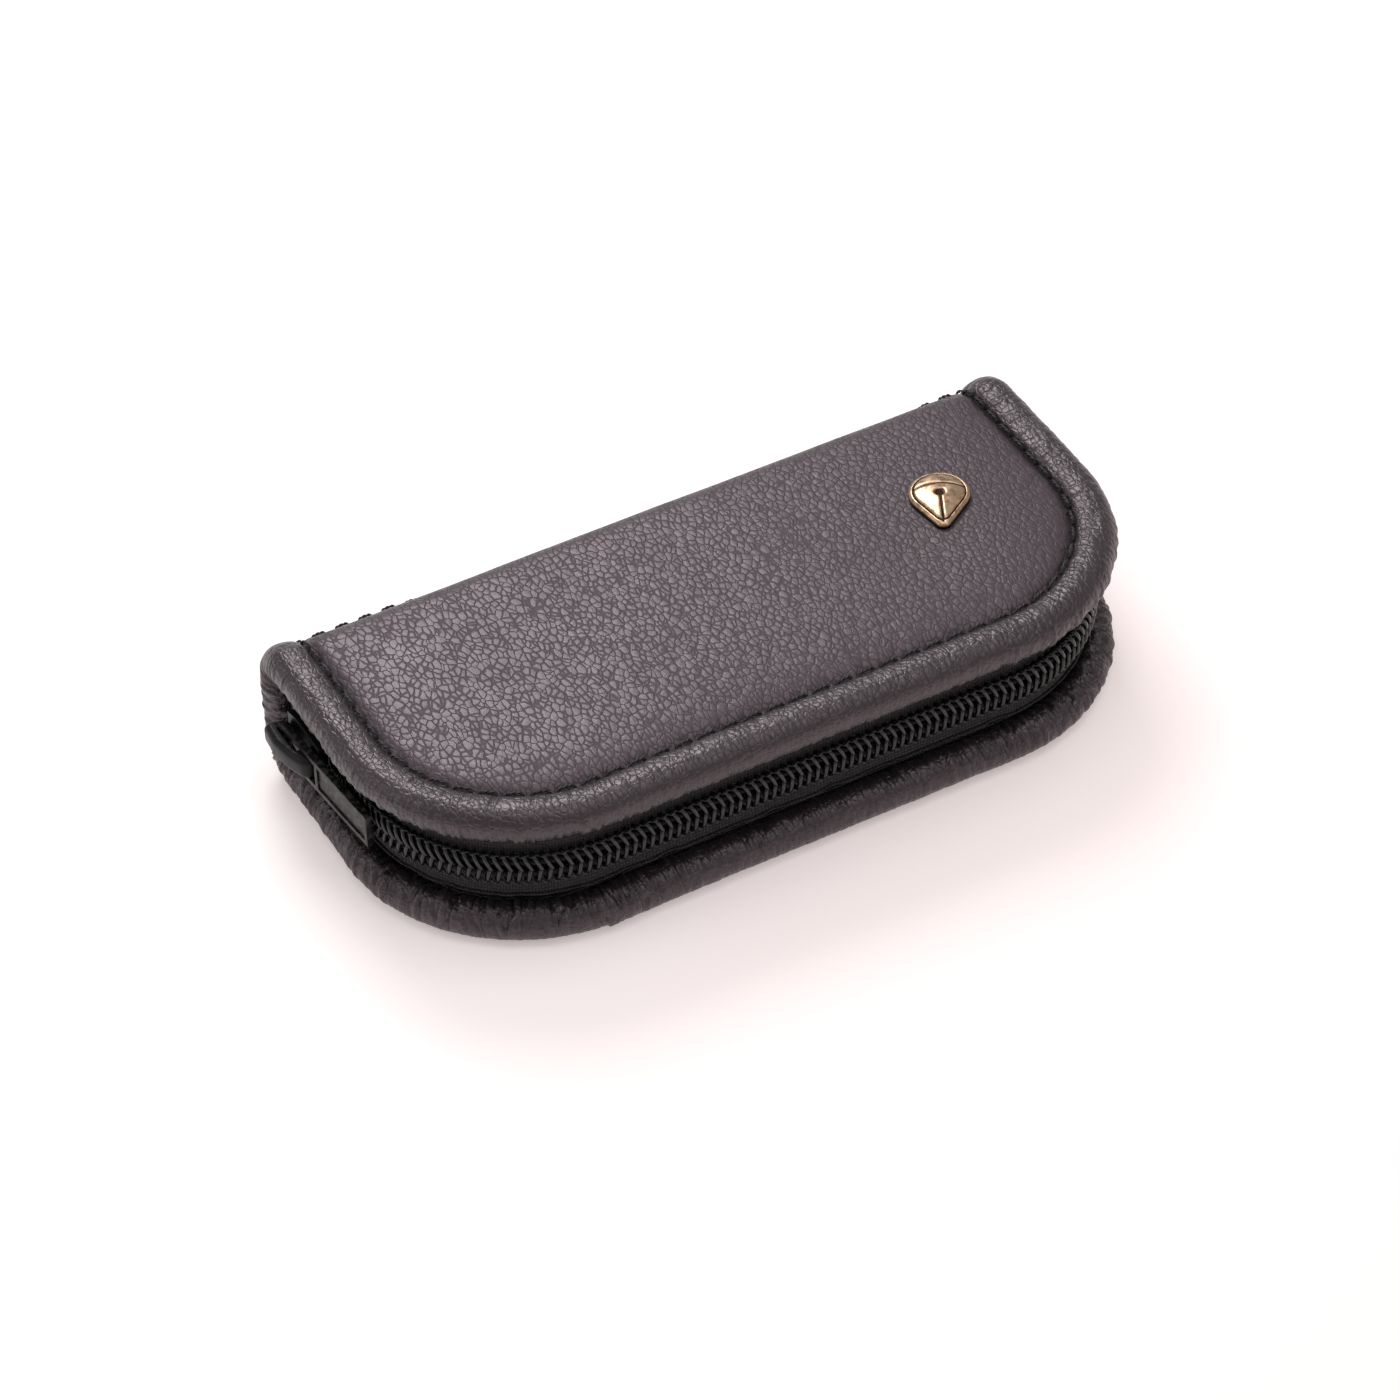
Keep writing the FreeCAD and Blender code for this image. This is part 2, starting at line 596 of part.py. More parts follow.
def loop_stitching():
    """Stitches that hold the feet of both bands to the lining."""
    outer = dim.pen_pitch / 2 + dim.pen_diameter / 2 + dim.loop_play + dim.loop_thick + dim.loop_foot / 2
    z = number(FLOOR_Z) + dim.loop_thick + dim.thread_thick / 2
    rows = 3
    step = dim.loop_width / rows
    threads = []
    for side in (-1, 1):
        for y in (-outer, 0.0, outer):
            for index in range(rows):
                x = side * dim.loop_place + (index + 0.5) * step - dim.loop_width / 2
                threads.append(thread(dim.loop_stitch, dim.thread_thick, dim.thread_thick, (x, y, z)))
    made = node("Part::Feature", "loop_stitching")
    made.Shape = Part.makeCompound(threads)
    return made


# ---------------------------------------------------------------- badge
DOME_FOOT, DOME_SHARES = 0.97, (0.94, 0.8, 0.6, 0.35)      # rings of the dome, as shares of the outline


def drop_outline(length, width, height):
    """Closed drop shape: a round end on +X and straight sides that meet at a blunt tip on -X."""
    round_end, tip = width / 2, dim.badge_tip * width / dim.badge_width
    far = length / 2 - round_end
    near = tip - length / 2
    lean = math.asin((round_end - tip) / (far - near))
    up, out = math.cos(lean), -math.sin(lean)
    touching = (far, round_end, -1), (far, round_end, 1), (near, tip, 1), (near, tip, -1)
    corners = [FreeCAD.Vector(x + radius * out, side * radius * up, height) for x, radius, side in touching]
    round_top = Part.Arc(corners[0], FreeCAD.Vector(length / 2, 0, height), corners[1])
    round_tip = Part.Arc(corners[2], FreeCAD.Vector(-length / 2, 0, height), corners[3])
    sides = Part.LineSegment(corners[1], corners[2]), Part.LineSegment(corners[3], corners[0])
    return Part.Wire([round_top.toShape(), sides[0].toShape(), round_tip.toShape(), sides[1].toShape()])


def prong(side, low, height):
    """Round prong beside the badge's middle."""
    return Part.makeCylinder(dim.prong_thick / 2, height, FreeCAD.Vector(side * dim.prong_spread / 2, 0, low))


def badge():
    """Domed drop on a rim, with two prongs that pierce the leather."""
    outline = drop_outline(dim.badge_length, dim.badge_width, 0.0)
    rim = Part.Face(outline).extrude(FreeCAD.Vector(0, 0, dim.badge_rim))
    foot = drop_outline(dim.badge_length * DOME_FOOT, dim.badge_width * DOME_FOOT, dim.badge_rim)
    steps = [drop_outline(dim.badge_length * share, dim.badge_width * share,
                          dim.badge_rim + (dim.badge_rise - dim.badge_rim) * math.sqrt(1 - share ** 2))
             for share in DOME_SHARES]
    dome = Part.makeLoft([foot] + steps, True, True)
    reach = dim.leather_thick + dim.plate_thick
    prongs = [prong(side, -reach, reach + dim.badge_rim / 2) for side in (-1, 1)]
    made = node("Part::Feature", "badge")
    made.Shape = rim.fuse([dome] + prongs).removeSplitter()
    made.Placement = badge_place(0.0)
    return made


def badge_backplate():
    """Washer that the prongs are clenched over, between leather and foam."""
    margin = 2 * dim.plate_margin
    outline = drop_outline(dim.badge_length - margin, dim.badge_width - margin, 0.0)
    plate = Part.Face(outline).extrude(FreeCAD.Vector(0, 0, dim.plate_thick))
    made = node("Part::Feature", "badge_backplate")
    made.Shape = plate.cut([prong(side, 0.0, dim.plate_thick) for side in (-1, 1)])
    made.Placement = badge_place(-dim.leather_thick - dim.plate_thick)
    return made


def badge_place(drop):
    """Placement on the lid, `drop` above its outer face."""
    spot = FreeCAD.Vector(dim.badge_x, dim.badge_y, dim.case_height + drop)
    return FreeCAD.Placement(spot, FreeCAD.Rotation(FreeCAD.Vector(0, 0, 1), dim.badge_turn))


# ---------------------------------------------------------------- assembly
def build():
    """Every piece of the case."""
    roll_inside = "dim.roll_skin"
    base = {
        "leather": base_leather(),
        "edge_roll": edge_piece("base_edge_roll", ["0", roll_inside]),
        "edge_cord": edge_piece("base_edge_cord", [roll_inside]),
        "foam": base_layer("base_foam", "dim.roll_width", FOAM_Z, "dim.foam_thick"),
        "board": base_layer("base_board", BOARD_INSET, BOARD_Z, "dim.board_thick"),
        "lining": base_layer("base_lining", "dim.roll_width", LINING_Z, "dim.lining_thick", turned=True),
        "zip_tape": base_zip_tape(),
        "stitching": base_stitching(),
    }
    for name, source in base.items():
        mirrored(source, f"lid_{name}")

    coil("base_coil", STOP_Y, f"({TAPE_Y} - dim.bottom_stop_length)")
    coil("base_coil_cord", STOP_Y, f"({TAPE_Y} - dim.bottom_stop_length)", cord=True)
    lid_left, lid_right = f"({TAIL_Y} - dim.slider_play)", f"({TAPE_Y} - dim.bottom_stop_length)"
    for name, cord in (("coil", False), ("coil_cord", True)):
        lower = coil(f"lower_{name}", lid_left, lid_right, cord)
        nodes.remove(lower)
        mirrored(lower, f"lid_{name}")
    top_stop = stop("lower_top_stop", "-", "dim.stop_length")
    mirrored(top_stop, "upper_top_stop")
    stop("bottom_stop", "", "dim.bottom_stop_length")

    spine_leather()
    spine_layer("spine_foam", FOAM_Z, BOARD_Z, "dim.roll_width")
    spine_layer("spine_board", BOARD_Z, LINING_Z, BOARD_INSET)
    spine_layer("spine_lining", LINING_Z, FLOOR_Z, "dim.roll_width", turned=True)
    roll = spine_edge("spine_roll_left", ["0", roll_inside])
    cord = spine_edge("spine_cord_left", [roll_inside])
    mirrored(roll, "spine_roll_right", "end")
    mirrored(cord, "spine_cord_right", "end")
    spine_stitching()

    slider_body()
    slider_crown()
    lock_pin()
    pull_tab()

    pen_loop("pen_loop_left", "-")
    pen_loop("pen_loop_right", "")
    loop_stitching()
    badge()
    badge_backplate()


build()
doc.recompute()
for item in doc.Objects:
    if {"Invalid", "Error"} & set(item.State):
        raise RuntimeError(f"{item.Label} failed: {item.State}")
for item in nodes:
    if item.Shape.isNull() or not item.Shape.isValid():
        raise RuntimeError(f"{item.Label} has no valid shape")
for item in nodes:
    item.Shape.exportStep(f"parts/{item.Label}.step")
print(len(nodes), "pieces")
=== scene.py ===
import math
from contextlib import contextmanager

import bmesh
import bpy
import numpy as np
from mathutils import Matrix, Vector, noise


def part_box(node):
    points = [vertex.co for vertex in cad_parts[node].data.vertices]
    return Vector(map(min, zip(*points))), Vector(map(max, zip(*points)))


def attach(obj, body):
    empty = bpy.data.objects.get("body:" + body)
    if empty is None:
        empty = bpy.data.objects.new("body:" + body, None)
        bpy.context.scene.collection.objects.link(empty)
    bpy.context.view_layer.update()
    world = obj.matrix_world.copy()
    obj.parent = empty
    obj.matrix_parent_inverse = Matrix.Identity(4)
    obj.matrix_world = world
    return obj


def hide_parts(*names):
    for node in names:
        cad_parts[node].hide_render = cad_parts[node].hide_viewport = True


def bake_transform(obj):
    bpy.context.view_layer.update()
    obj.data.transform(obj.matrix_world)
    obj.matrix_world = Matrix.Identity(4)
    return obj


for stray in ("Cube", "Light", "Camera"):
    if stray in bpy.data.objects:
        bpy.data.objects.remove(bpy.data.objects[stray])
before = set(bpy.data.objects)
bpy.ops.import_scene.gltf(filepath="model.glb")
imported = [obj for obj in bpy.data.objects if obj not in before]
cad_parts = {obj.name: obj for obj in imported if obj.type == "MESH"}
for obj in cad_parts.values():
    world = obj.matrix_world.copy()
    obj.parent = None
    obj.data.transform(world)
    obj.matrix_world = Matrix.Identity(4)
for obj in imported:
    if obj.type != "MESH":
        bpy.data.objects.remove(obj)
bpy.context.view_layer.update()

# ---------------------------------------------------------------- sizes, in metres
MM = 0.001
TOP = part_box("lid_leather")[1][2]
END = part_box("base_edge_roll")[1][0]
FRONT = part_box("base_edge_roll")[0][1]
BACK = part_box("spine_leather")[1][1]
CORNER = 36 * MM              # outer radius of the front corners
FOLD = 9 * MM                 # outer radius where a panel turns up into the spine
TURN_Y = BACK - FOLD
CORNER_X, CORNER_Y = END - CORNER, FRONT + CORNER
FOLD_RUN = FOLD * math.pi / 2
SPINE_RUN = TURN_Y + FOLD_RUN + TOP / 2 - FOLD      # middle of the spine, on the flattened leather
ROLL = 3.65 * MM              # radius of the edge rolls
SEAM = 8.0 * MM               # the stitch line, inside the edge
CHAIN = 4.5 * MM              # the chain, inside the edge
CHAIN_Z = TOP / 2
FLOOR = 5.3 * MM              # thickness of a panel
TAPE_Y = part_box("base_zip_tape")[1][1]
MERGE = 0.01 * MM             # vertices nearer than this are one


# ---------------------------------------------------------------- modelling helpers
def active(piece):
    """Selects one piece and nothing else."""
    bpy.ops.object.select_all(action="DESELECT")
    piece.select_set(True)
    bpy.context.view_layer.objects.active = piece
    return piece


@contextmanager
def editing(piece):
    """Edit mode on one piece, with everything in it deselected."""
    active(piece)
    bpy.ops.object.mode_set(mode="EDIT")
    bpy.ops.mesh.select_all(action="DESELECT")
    yield piece
    bpy.ops.object.mode_set(mode="OBJECT")


def pick(piece, kind, test):
    """Selects the vertices or faces of the edited piece that pass a test."""
    bpy.ops.mesh.select_mode(type="FACE" if kind == "faces" else "VERT")
    form = bmesh.from_edit_mesh(piece.data)
    for item in getattr(form, kind):
        item.select = bool(test(item))
    form.select_flush_mode()
    bmesh.update_edit_mesh(piece.data)


def named(name):
    """The object just added, named and with its place in its mesh."""
    piece = bpy.context.object
    piece.name = piece.data.name = name
    bpy.ops.object.transform_apply(location=True, rotation=True, scale=True)
    return piece


def modify(piece, kind, **settings):
    """Adds a modifier and applies it."""
    active(piece)
    modifier = piece.modifiers.new(kind.title(), kind)
    for key, value in settings.items():
        setattr(modifier, key, value)
    bpy.ops.object.modifier_apply(modifier=modifier.name)
    return piece


def smooth(piece, angle=180.0):
    """Smooth shading, with edges sharper than the angle left crisp."""
    active(piece)
    bpy.ops.object.shade_smooth_by_angle(angle=math.radians(angle))
    return piece


def join(pieces, name):
    """One piece out of several."""
    active(pieces[0])
    for piece in pieces[1:]:
        piece.select_set(True)
    bpy.ops.object.join()
    pieces[0].name = pieces[0].data.name = name
    return pieces[0]


def points_of(piece):
    """Vertex places as an array."""
    flat = np.empty(len(piece.data.vertices) * 3)
    piece.data.vertices.foreach_get("co", flat)
    return flat.reshape(-1, 3)


def normals_of(piece):
    """Vertex normals as an array."""
    return np.array([tuple(item.vector) for item in piece.data.vertex_normals])


def place_points(piece, points):
    """Writes vertex places back."""
    piece.data.vertices.foreach_set("co", np.asarray(points, float).ravel())
    piece.data.update()


def outward_normals(piece):
    """Turns every face outwards."""
    with editing(piece):
        bpy.ops.mesh.select_all(action="SELECT")
        bpy.ops.mesh.normals_make_consistent(inside=False)


def ripple(place, scale, seed):
    """Smooth noise from -1 to 1 with features about `scale` long."""
    return noise.noise(Vector(place) / scale + Vector((seed * 7.31, seed * 3.17, seed * 5.71)))


# ---------------------------------------------------------------- the flattened leather
# Base and lid are worked flat, outer face down: x along the case, y from the front edge over the spine
# fold to the middle of the spine, z the depth under the outer face. Then they are wrapped up the spine.
def rim_place(x, run):
    """Distance inside the edge, and distance along it from the left end of the front corner's start."""
    if run > CORNER_Y:
        side = CORNER * math.pi / 2 + CORNER_X
        return END - abs(x), math.copysign(side + run - CORNER_Y, x)
    if abs(x) > CORNER_X:
        out, ahead = abs(x) - CORNER_X, CORNER_Y - run
        turned = math.atan2(out, max(ahead, 1e-9))
        return CORNER - math.hypot(out, ahead), math.copysign(CORNER_X + CORNER * turned, x)
    return run - FRONT, x


def wrap(piece, lid):
    """Turns the flat piece up the spine, and over into the lid."""
    points = points_of(piece)
    run, depth = points[:, 1].copy(), points[:, 2].copy()
    turn = np.clip((run - TURN_Y) / FOLD, 0.0, math.pi / 2)
    wall = np.maximum(run - TURN_Y - FOLD_RUN, 0.0)
    radius = FOLD - depth
    on_fold = run > TURN_Y
    points[:, 1] = np.where(on_fold, TURN_Y + radius * np.sin(turn), run)
    points[:, 2] = np.where(on_fold, FOLD - radius * np.cos(turn) + wall, depth)
    if lid:
        points[:, 2] = TOP - points[:, 2]
    place_points(piece, points)
    if lid:
        with editing(piece):
            bpy.ops.mesh.select_all(action="SELECT")
            bpy.ops.mesh.flip_normals()
    return piece


def hang(piece, lid, slot, *nodes, wrapped=True):
    """Bakes a wrapped piece's place into its mesh, or puts a plain one on its own body; hides the parts it
    stands in for.
    """
    if not wrapped:
        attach(piece, "lid" if lid else "base")
    elif lid:
        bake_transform(piece)
    else:
        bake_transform(piece)
    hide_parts(*nodes)
    return piece


def flat_plate(name, inset, low, high):
    """Plate in a panel's outline: straight spine edge and two round front corners."""
    side, front, back, segments = END - inset, FRONT + inset, SPINE_RUN, 24
    bpy.ops.mesh.primitive_plane_add(size=1, location=(0, (back + front) / 2, low))
    plate = named(name)
    with editing(plate):
        bpy.ops.mesh.select_all(action="SELECT")
        bpy.ops.transform.resize(value=(2 * side, back - front, 1),
                                 center_override=(0, (back + front) / 2, low))
        pick(plate, "verts", lambda vert: vert.co.y < (back + front) / 2)
        bpy.ops.mesh.bevel(offset=CORNER - inset, segments=segments, affect="VERTICES")
        bpy.ops.mesh.select_all(action="SELECT")
        bpy.ops.mesh.extrude_region_move(TRANSFORM_OT_translate={"value": (0, 0, high - low)})
        bpy.ops.mesh.select_all(action="SELECT")
        bpy.ops.mesh.normals_make_consistent(inside=False)
    return plate


def round_the_rim(piece, inset, back, step):
    """Carries the selected section from the left end round both front corners to the right end."""
    length = back - CORNER_Y
    count = max(2, round(length / step))
    turns = max(8, round((CORNER - inset) * math.pi / 2 / step))
    along = max(2, round(2 * CORNER_X / step))
    bpy.ops.mesh.extrude_repeat(steps=count, offset=(0, -length / count, 0), scale_offset=1)
    bpy.ops.mesh.spin(steps=turns, angle=-math.pi / 2, center=(-CORNER_X, CORNER_Y, 0), axis=(0, 0, 1))
    bpy.ops.mesh.extrude_repeat(steps=along, offset=(2 * CORNER_X / along, 0, 0), scale_offset=1)
    bpy.ops.mesh.spin(steps=turns, angle=-math.pi / 2, center=(CORNER_X, CORNER_Y, 0), axis=(0, 0, 1))
    bpy.ops.mesh.extrude_repeat(steps=count, offset=(0, length / count, 0), scale_offset=1)


# ---------------------------------------------------------------- padded covers
BACK_SEAM = TURN_Y + FOLD * math.radians(43)     # stitch row along the spine side of a panel
COVER_TUCK = 0.9 * MM                            # how far a cover goes on under the roll


def inflate(pad, rise):
    """Blows the foam up under the leather, with the seams and the inner face held."""
    steps, held_skin, held_edge, fullness = 18, 0.4 * MM, 1.2 * MM, 1.6
    held = pad.vertex_groups.new(name="held")
    points = points_of(pad)
    inner = points[:, 2].max() - held_skin
    for index, (x, run, depth) in enumerate(points):
        distance, _ = rim_place(x, run)
        if depth > inner or distance - SEAM < held_edge or run > BACK_SEAM - held_edge:
            held.add([index], 1.0, "REPLACE")
    before = points.copy()
    cloth = pad.modifiers.new("Cloth", "CLOTH")
    cloth.settings.quality = 4
    cloth.settings.mass = 0.1
    cloth.settings.tension_stiffness = cloth.settings.compression_stiffness = 12
    cloth.settings.bending_stiffness = 0.6
    cloth.settings.use_pressure = True
    cloth.settings.uniform_pressure_force = 4
    cloth.settings.vertex_group_mass = held.name
    cloth.settings.effector_weights.gravity = 0
    cloth.collision_settings.use_collision = False
    cloth.point_cache.frame_start, cloth.point_cache.frame_end = 1, steps
    scene = bpy.context.scene
    for number in range(1, steps + 1):
        scene.frame_set(number)
    active(pad)
    bpy.ops.object.modifier_apply(modifier=cloth.name)
    scene.frame_set(1)
    moved = points_of(pad) - before
    reach = np.linalg.norm(moved, axis=1, keepdims=True)
    tallest = max(float(np.quantile(reach, 0.98)), 1e-6)
    kept = rise * np.tanh(fullness * reach / tallest) / math.tanh(fullness)
    place_points(pad, before + moved / np.maximum(reach, 1e-9) * kept)
    pad.vertex_groups.clear()
    return pad


def sink_seams(pad, seed):
    """Draws the leather into the stitch line and puckers it beside the stitches."""
    seam_depth, pucker_depth, wave_depth = 1.3 * MM, 0.34 * MM, 0.14 * MM
    points = points_of(pad)
    middle = (points[:, 2].max() + points[:, 2].min()) / 2
    for place in points:
        x, run, depth = place
        if depth > middle:
            continue
        distance, along = rim_place(x, run)
        inside = max(distance - SEAM, 0.0)
        spine_side = abs(run - BACK_SEAM)
        near = math.exp(-(inside / (1.1 * MM)) ** 1.5)
        near_back = 0.45 * math.exp(-(spine_side / (1.2 * MM)) ** 1.5)
        pucker = ripple((along, inside * 0.25, 0), 1.5 * MM, seed) + \
            0.7 * ripple((along, inside * 0.25, 0), 3.4 * MM, seed + 1)
        fade = math.exp(-inside / (3.2 * MM)) * min(1.0, inside / (0.6 * MM) + 0.3)
        wave = ripple((x, run, 0), 16 * MM, seed + 2)
        place[2] += seam_depth * max(near, near_back) + pucker_depth * pucker * fade + wave_depth * wave
    place_points(pad, points)


def padded_cover(lid):
    """Leather over foam: one panel, its fold and half of the spine."""
    side, outer, rise, seed = ("lid", 1.0 * MM, 1.2 * MM, 11) if lid else ("base", 0.5 * MM, 0.35 * MM, 23)
    pad = flat_plate(f"{side}_cover", SEAM - COVER_TUCK, outer, 3.8 * MM)
    modify(pad, "REMESH", mode="VOXEL", voxel_size=1.1 * MM)
    inflate(pad, rise)
    modify(pad, "SUBSURF", levels=1, render_levels=1)
    sink_seams(pad, seed)
    wrap(pad, lid)
    smooth(pad)
    hang(pad, lid, "panel_leather", f"{side}_leather", f"{side}_foam", f"{side}_board",
         *(["spine_leather", "spine_foam", "spine_board"] if lid else []))
    pad.data.materials.append(MATERIALS["panel_leather"])
    return pad


def lining(lid):
    """Brushed lining over the inside of a panel, its fold and half of the spine."""
    side = "lid" if lid else "base"
    inset, thick = SEAM - 0.2 * MM, 1.5 * MM
    cloth = flat_plate(f"{side}_lining_cloth", inset, FLOOR - thick, FLOOR)
    modify(cloth, "REMESH", mode="VOXEL", voxel_size=1.4 * MM)
    points = points_of(cloth)
    for place in points:
        place[2] += 0.1 * MM * ripple((place[0], place[1], 0), 9 * MM, 31)
    place_points(cloth, points)
    wrap(cloth, lid)
    smooth(cloth)
    hang(cloth, lid, "lining", f"{side}_lining", *(["spine_lining"] if lid else []))
    cloth.data.materials.append(MATERIALS["lining"])
    return cloth


# ---------------------------------------------------------------- edge rolls
def roll_section(angle):
    """Place on the roll's section: distance inside the edge and depth, from the outer face round the edge."""
    across, down = math.sin(angle), math.cos(angle)
    if across >= 0:
        return ROLL - ROLL * across, ROLL - ROLL * down
    valley = 1.7 * MM
    reach = SEAM - 0.35 * MM - ROLL
    depth = valley * (1 - down) if down > 0 else valley - (2 * ROLL - valley) * down
    return ROLL - reach * across, depth


def gather(roll, seed, strength, lap=None):
    """Presses the pleats of the rolled leather into it: tight on the zip side and at the corners."""
    lap_rise, lap_fade, corner_lead = 0.42, 9 * MM, 16 * MM
    points, normals = points_of(roll), normals_of(roll)
    for place, normal in zip(points, normals):
        x, run, depth = place
        inset, along = rim_place(x, run)
        angle = math.atan2(ROLL - inset, ROLL - depth) % (2 * math.pi)
        under = 0.5 - 0.5 * math.cos(min(max(angle - 0.55, 0.0), 1.6) / 1.6 * math.pi)
        if angle > 1.5 * math.pi:
            under = 0.2
        corner = min(1.0, max(0.0, (abs(along) - CORNER_X + corner_lead) / corner_lead))
        tight = (0.5 + 0.5 * corner) * (0.8 + 0.5 * ripple((along, 0, 0), 14 * MM, seed + 3))
        swing = angle * 1.1 * MM
        line = ripple((along + 0.3 * swing, swing * 0.55, 0), 1.15 * MM, seed)
        other = ripple((along - 0.35 * swing, swing * 0.8, 0), 1.9 * MM, seed + 4)
        crease = -math.exp(-(line / 0.16) ** 2) - 0.6 * math.exp(-(other / 0.12) ** 2) * max(under, 0.25)
        fine = ripple((along, swing * 0.6, 0), 0.62 * MM, seed + 1)
        slack = ripple((along, swing * 2, 0), 6 * MM, seed + 2)
        push = strength * under * tight * (0.5 * crease + 0.46 * line + 0.14 * fine) + 0.13 * slack
        push += 0.07 * (1 - under) * crease
        if lap is not None and along > lap:
            past = along - lap
            push += lap_rise * min(1.0, past / (0.3 * MM)) * math.exp(-past / lap_fade)
        place += normal * push * MM
    place_points(roll, points)


def edge_roll(lid):
    """Leather strip rolled over a cord round one panel and up both ends of the spine."""
    side, seed, strength, lap = ("lid", 3, 0.85, None) if lid else ("base", 8, 1.35, -43 * MM)
    around, step = 48, 0.25 * MM
    bpy.ops.mesh.primitive_circle_add(vertices=around, radius=ROLL, location=(-END + ROLL, SPINE_RUN, ROLL),
                                      rotation=(math.pi / 2, 0, 0))
    roll = named(f"{side}_roll")
    points = points_of(roll)
    for index, place in enumerate(points):
        inset, depth = roll_section(2 * math.pi * index / around)
        place[0], place[2] = -END + inset, depth
    place_points(roll, points)
    with editing(roll):
        bpy.ops.mesh.select_all(action="SELECT")
        round_the_rim(roll, ROLL, SPINE_RUN, step)
    with editing(roll):
        bpy.ops.mesh.select_all(action="SELECT")
        bpy.ops.mesh.remove_doubles(threshold=MERGE)
        bpy.ops.mesh.normals_make_consistent(inside=False)
    gather(roll, seed, strength, lap)
    wrap(roll, lid)
    smooth(roll)
    hang(roll, lid, "roll_leather", f"{side}_edge_roll", f"{side}_edge_cord",
         *(["spine_roll_left", "spine_roll_right", "spine_cord_left", "spine_cord_right"] if lid else []))
    roll.data.materials.append(MATERIALS["roll_leather"])
    return roll


# ---------------------------------------------------------------- sewing
def rim_walk(inset, back, pitch):
    """Places and headings along the line `inset` inside the edge, from the left end to the right."""
    radius = CORNER - inset
    straight, arc = back - CORNER_Y, radius * math.pi / 2
    total = 2 * (straight + arc + CORNER_X)
    count = round(total / pitch)
    for index in range(count):
        gone = (index + 0.5) * total / count
        if gone < straight:
            yield -END + inset, back - gone, -math.pi / 2
            continue
        gone -= straight
        if gone < arc:
            turned = gone / radius
            yield (-CORNER_X - radius * math.cos(turned), CORNER_Y - radius * math.sin(turned),
                   turned - math.pi / 2)
            continue
        gone -= arc
        if gone < 2 * CORNER_X:
            yield -CORNER_X + gone, FRONT + inset, 0.0
            continue
        gone -= 2 * CORNER_X
        if gone < arc:
            turned = gone / radius
            yield CORNER_X + radius * math.sin(turned), CORNER_Y - radius * math.cos(turned), turned
            continue
        yield END - inset, CORNER_Y + gone - arc, math.pi / 2


def one_stitch(name, length, thick):
    """A stitch of two-ply thread: two strands twisted round each other, diving at both ends."""
    strands, sides, steps, half_turns = [], 5, 9, 3.2
    for ply in (0, math.pi):
        bpy.ops.mesh.primitive_circle_add(vertices=sides, radius=thick * 0.3, fill_type="NGON",
                                          location=(-length / 2, 0, 0), rotation=(0, math.pi / 2, 0))
        strand = named(name)
        with editing(strand):
            bpy.ops.mesh.select_all(action="SELECT")
            bpy.ops.mesh.extrude_repeat(steps=steps, offset=(length / steps, 0, 0), scale_offset=1)
        points = points_of(strand)
        for place in points:
            share = place[0] / length + 0.5
            twist = ply + share * half_turns * math.pi
            place[1] += thick * 0.24 * math.cos(twist)
            place[2] += thick * 0.24 * math.sin(twist) + thick * 1.1 * (2 * share - 1) ** 4
        place_points(strand, points)
        strands.append(strand)
    stitch = join(strands, name)
    outward_normals(stitch)
    return stitch


def row_of_stitches(name, places, length, thick, depth):
    """Copies of one stitch laid along a line on the flattened leather."""
    pattern = one_stitch(name, length, thick)
    row = []
    for number, (x, run, heading) in enumerate(places):
        copy = pattern.copy()
        copy.data = pattern.data.copy()
        bpy.context.collection.objects.link(copy)
        slant = 0.09 + 0.05 * ripple((number, 0, 0), 1.7, 5)
        copy.data.transform(Matrix.Translation((x, run, depth)) @ Matrix.Rotation(heading + slant, 4, "Z"))
        row.append(copy)
    bpy.data.objects.remove(pattern)
    return join(row, name)


def panel_stitching(lid):
    """The closed loop of stitches round one panel, with its spine side on the fold."""
    side, pitch = "lid" if lid else "base", 4.6 * MM
    places = list(rim_walk(SEAM + 0.15 * MM, SPINE_RUN - 1 * MM, pitch))
    reach = END - SEAM - 1.5 * MM
    count = round(2 * reach / pitch)
    back_row = [(-reach + (index + 0.5) * 2 * reach / count, BACK_SEAM, 0.0) for index in range(count)]
    rim_row = row_of_stitches(f"{side}_rim_thread", places, 3.6 * MM, 0.66 * MM, 1.0 * MM)
    fold_row = row_of_stitches(f"{side}_fold_thread", back_row, 3.4 * MM, 0.6 * MM, 0.95 * MM)
    points = points_of(fold_row)
    sunk, left, right = 0.8 * MM, -50 * MM, 62 * MM
    middle = np.minimum((points[:, 0] - left) / (8 * MM), (right - points[:, 0]) / (6 * MM))
    points[:, 2] += sunk * np.clip(middle, 0, 1)
    place_points(fold_row, points)
    thread = join([rim_row, fold_row], f"{side}_thread")
    wrap(thread, lid)
    smooth(thread)
    hang(thread, lid, "thread", f"{side}_stitching", *(["spine_stitching"] if lid else []))
    thread.data.materials.append(MATERIALS["thread"])
    return thread


# ---------------------------------------------------------------- zip
def strip_section(name, corners):
    """Open chain of edges at the left end, through (inset, height) corners."""
    bpy.ops.mesh.primitive_plane_add(size=1)
    strip = named(name)
    with editing(strip):
        pick(strip, "verts", lambda vert: vert.index != 0)
        bpy.ops.mesh.delete(type="VERT")
        pick(strip, "verts", lambda vert: True)
        place = Vector((-END + corners[0][0], TAPE_Y, corners[0][1]))
        bpy.ops.transform.translate(value=place - strip.data.vertices[0].co)
        for before, after in zip(corners, corners[1:]):
            bpy.ops.mesh.extrude_region_move(TRANSFORM_OT_translate={
                "value": (after[0] - before[0], 0, after[1] - before[1])})
    return strip


def hem_wave(along, lid):
    """Height of the tape's slack hem."""
    wave = 0.45 * ripple((along, 0, 0), 4.2 * MM, 17 + lid)
    return (wave + 0.2 * ripple((along, 0, 0), 1.7 * MM, 19 + lid)) * MM


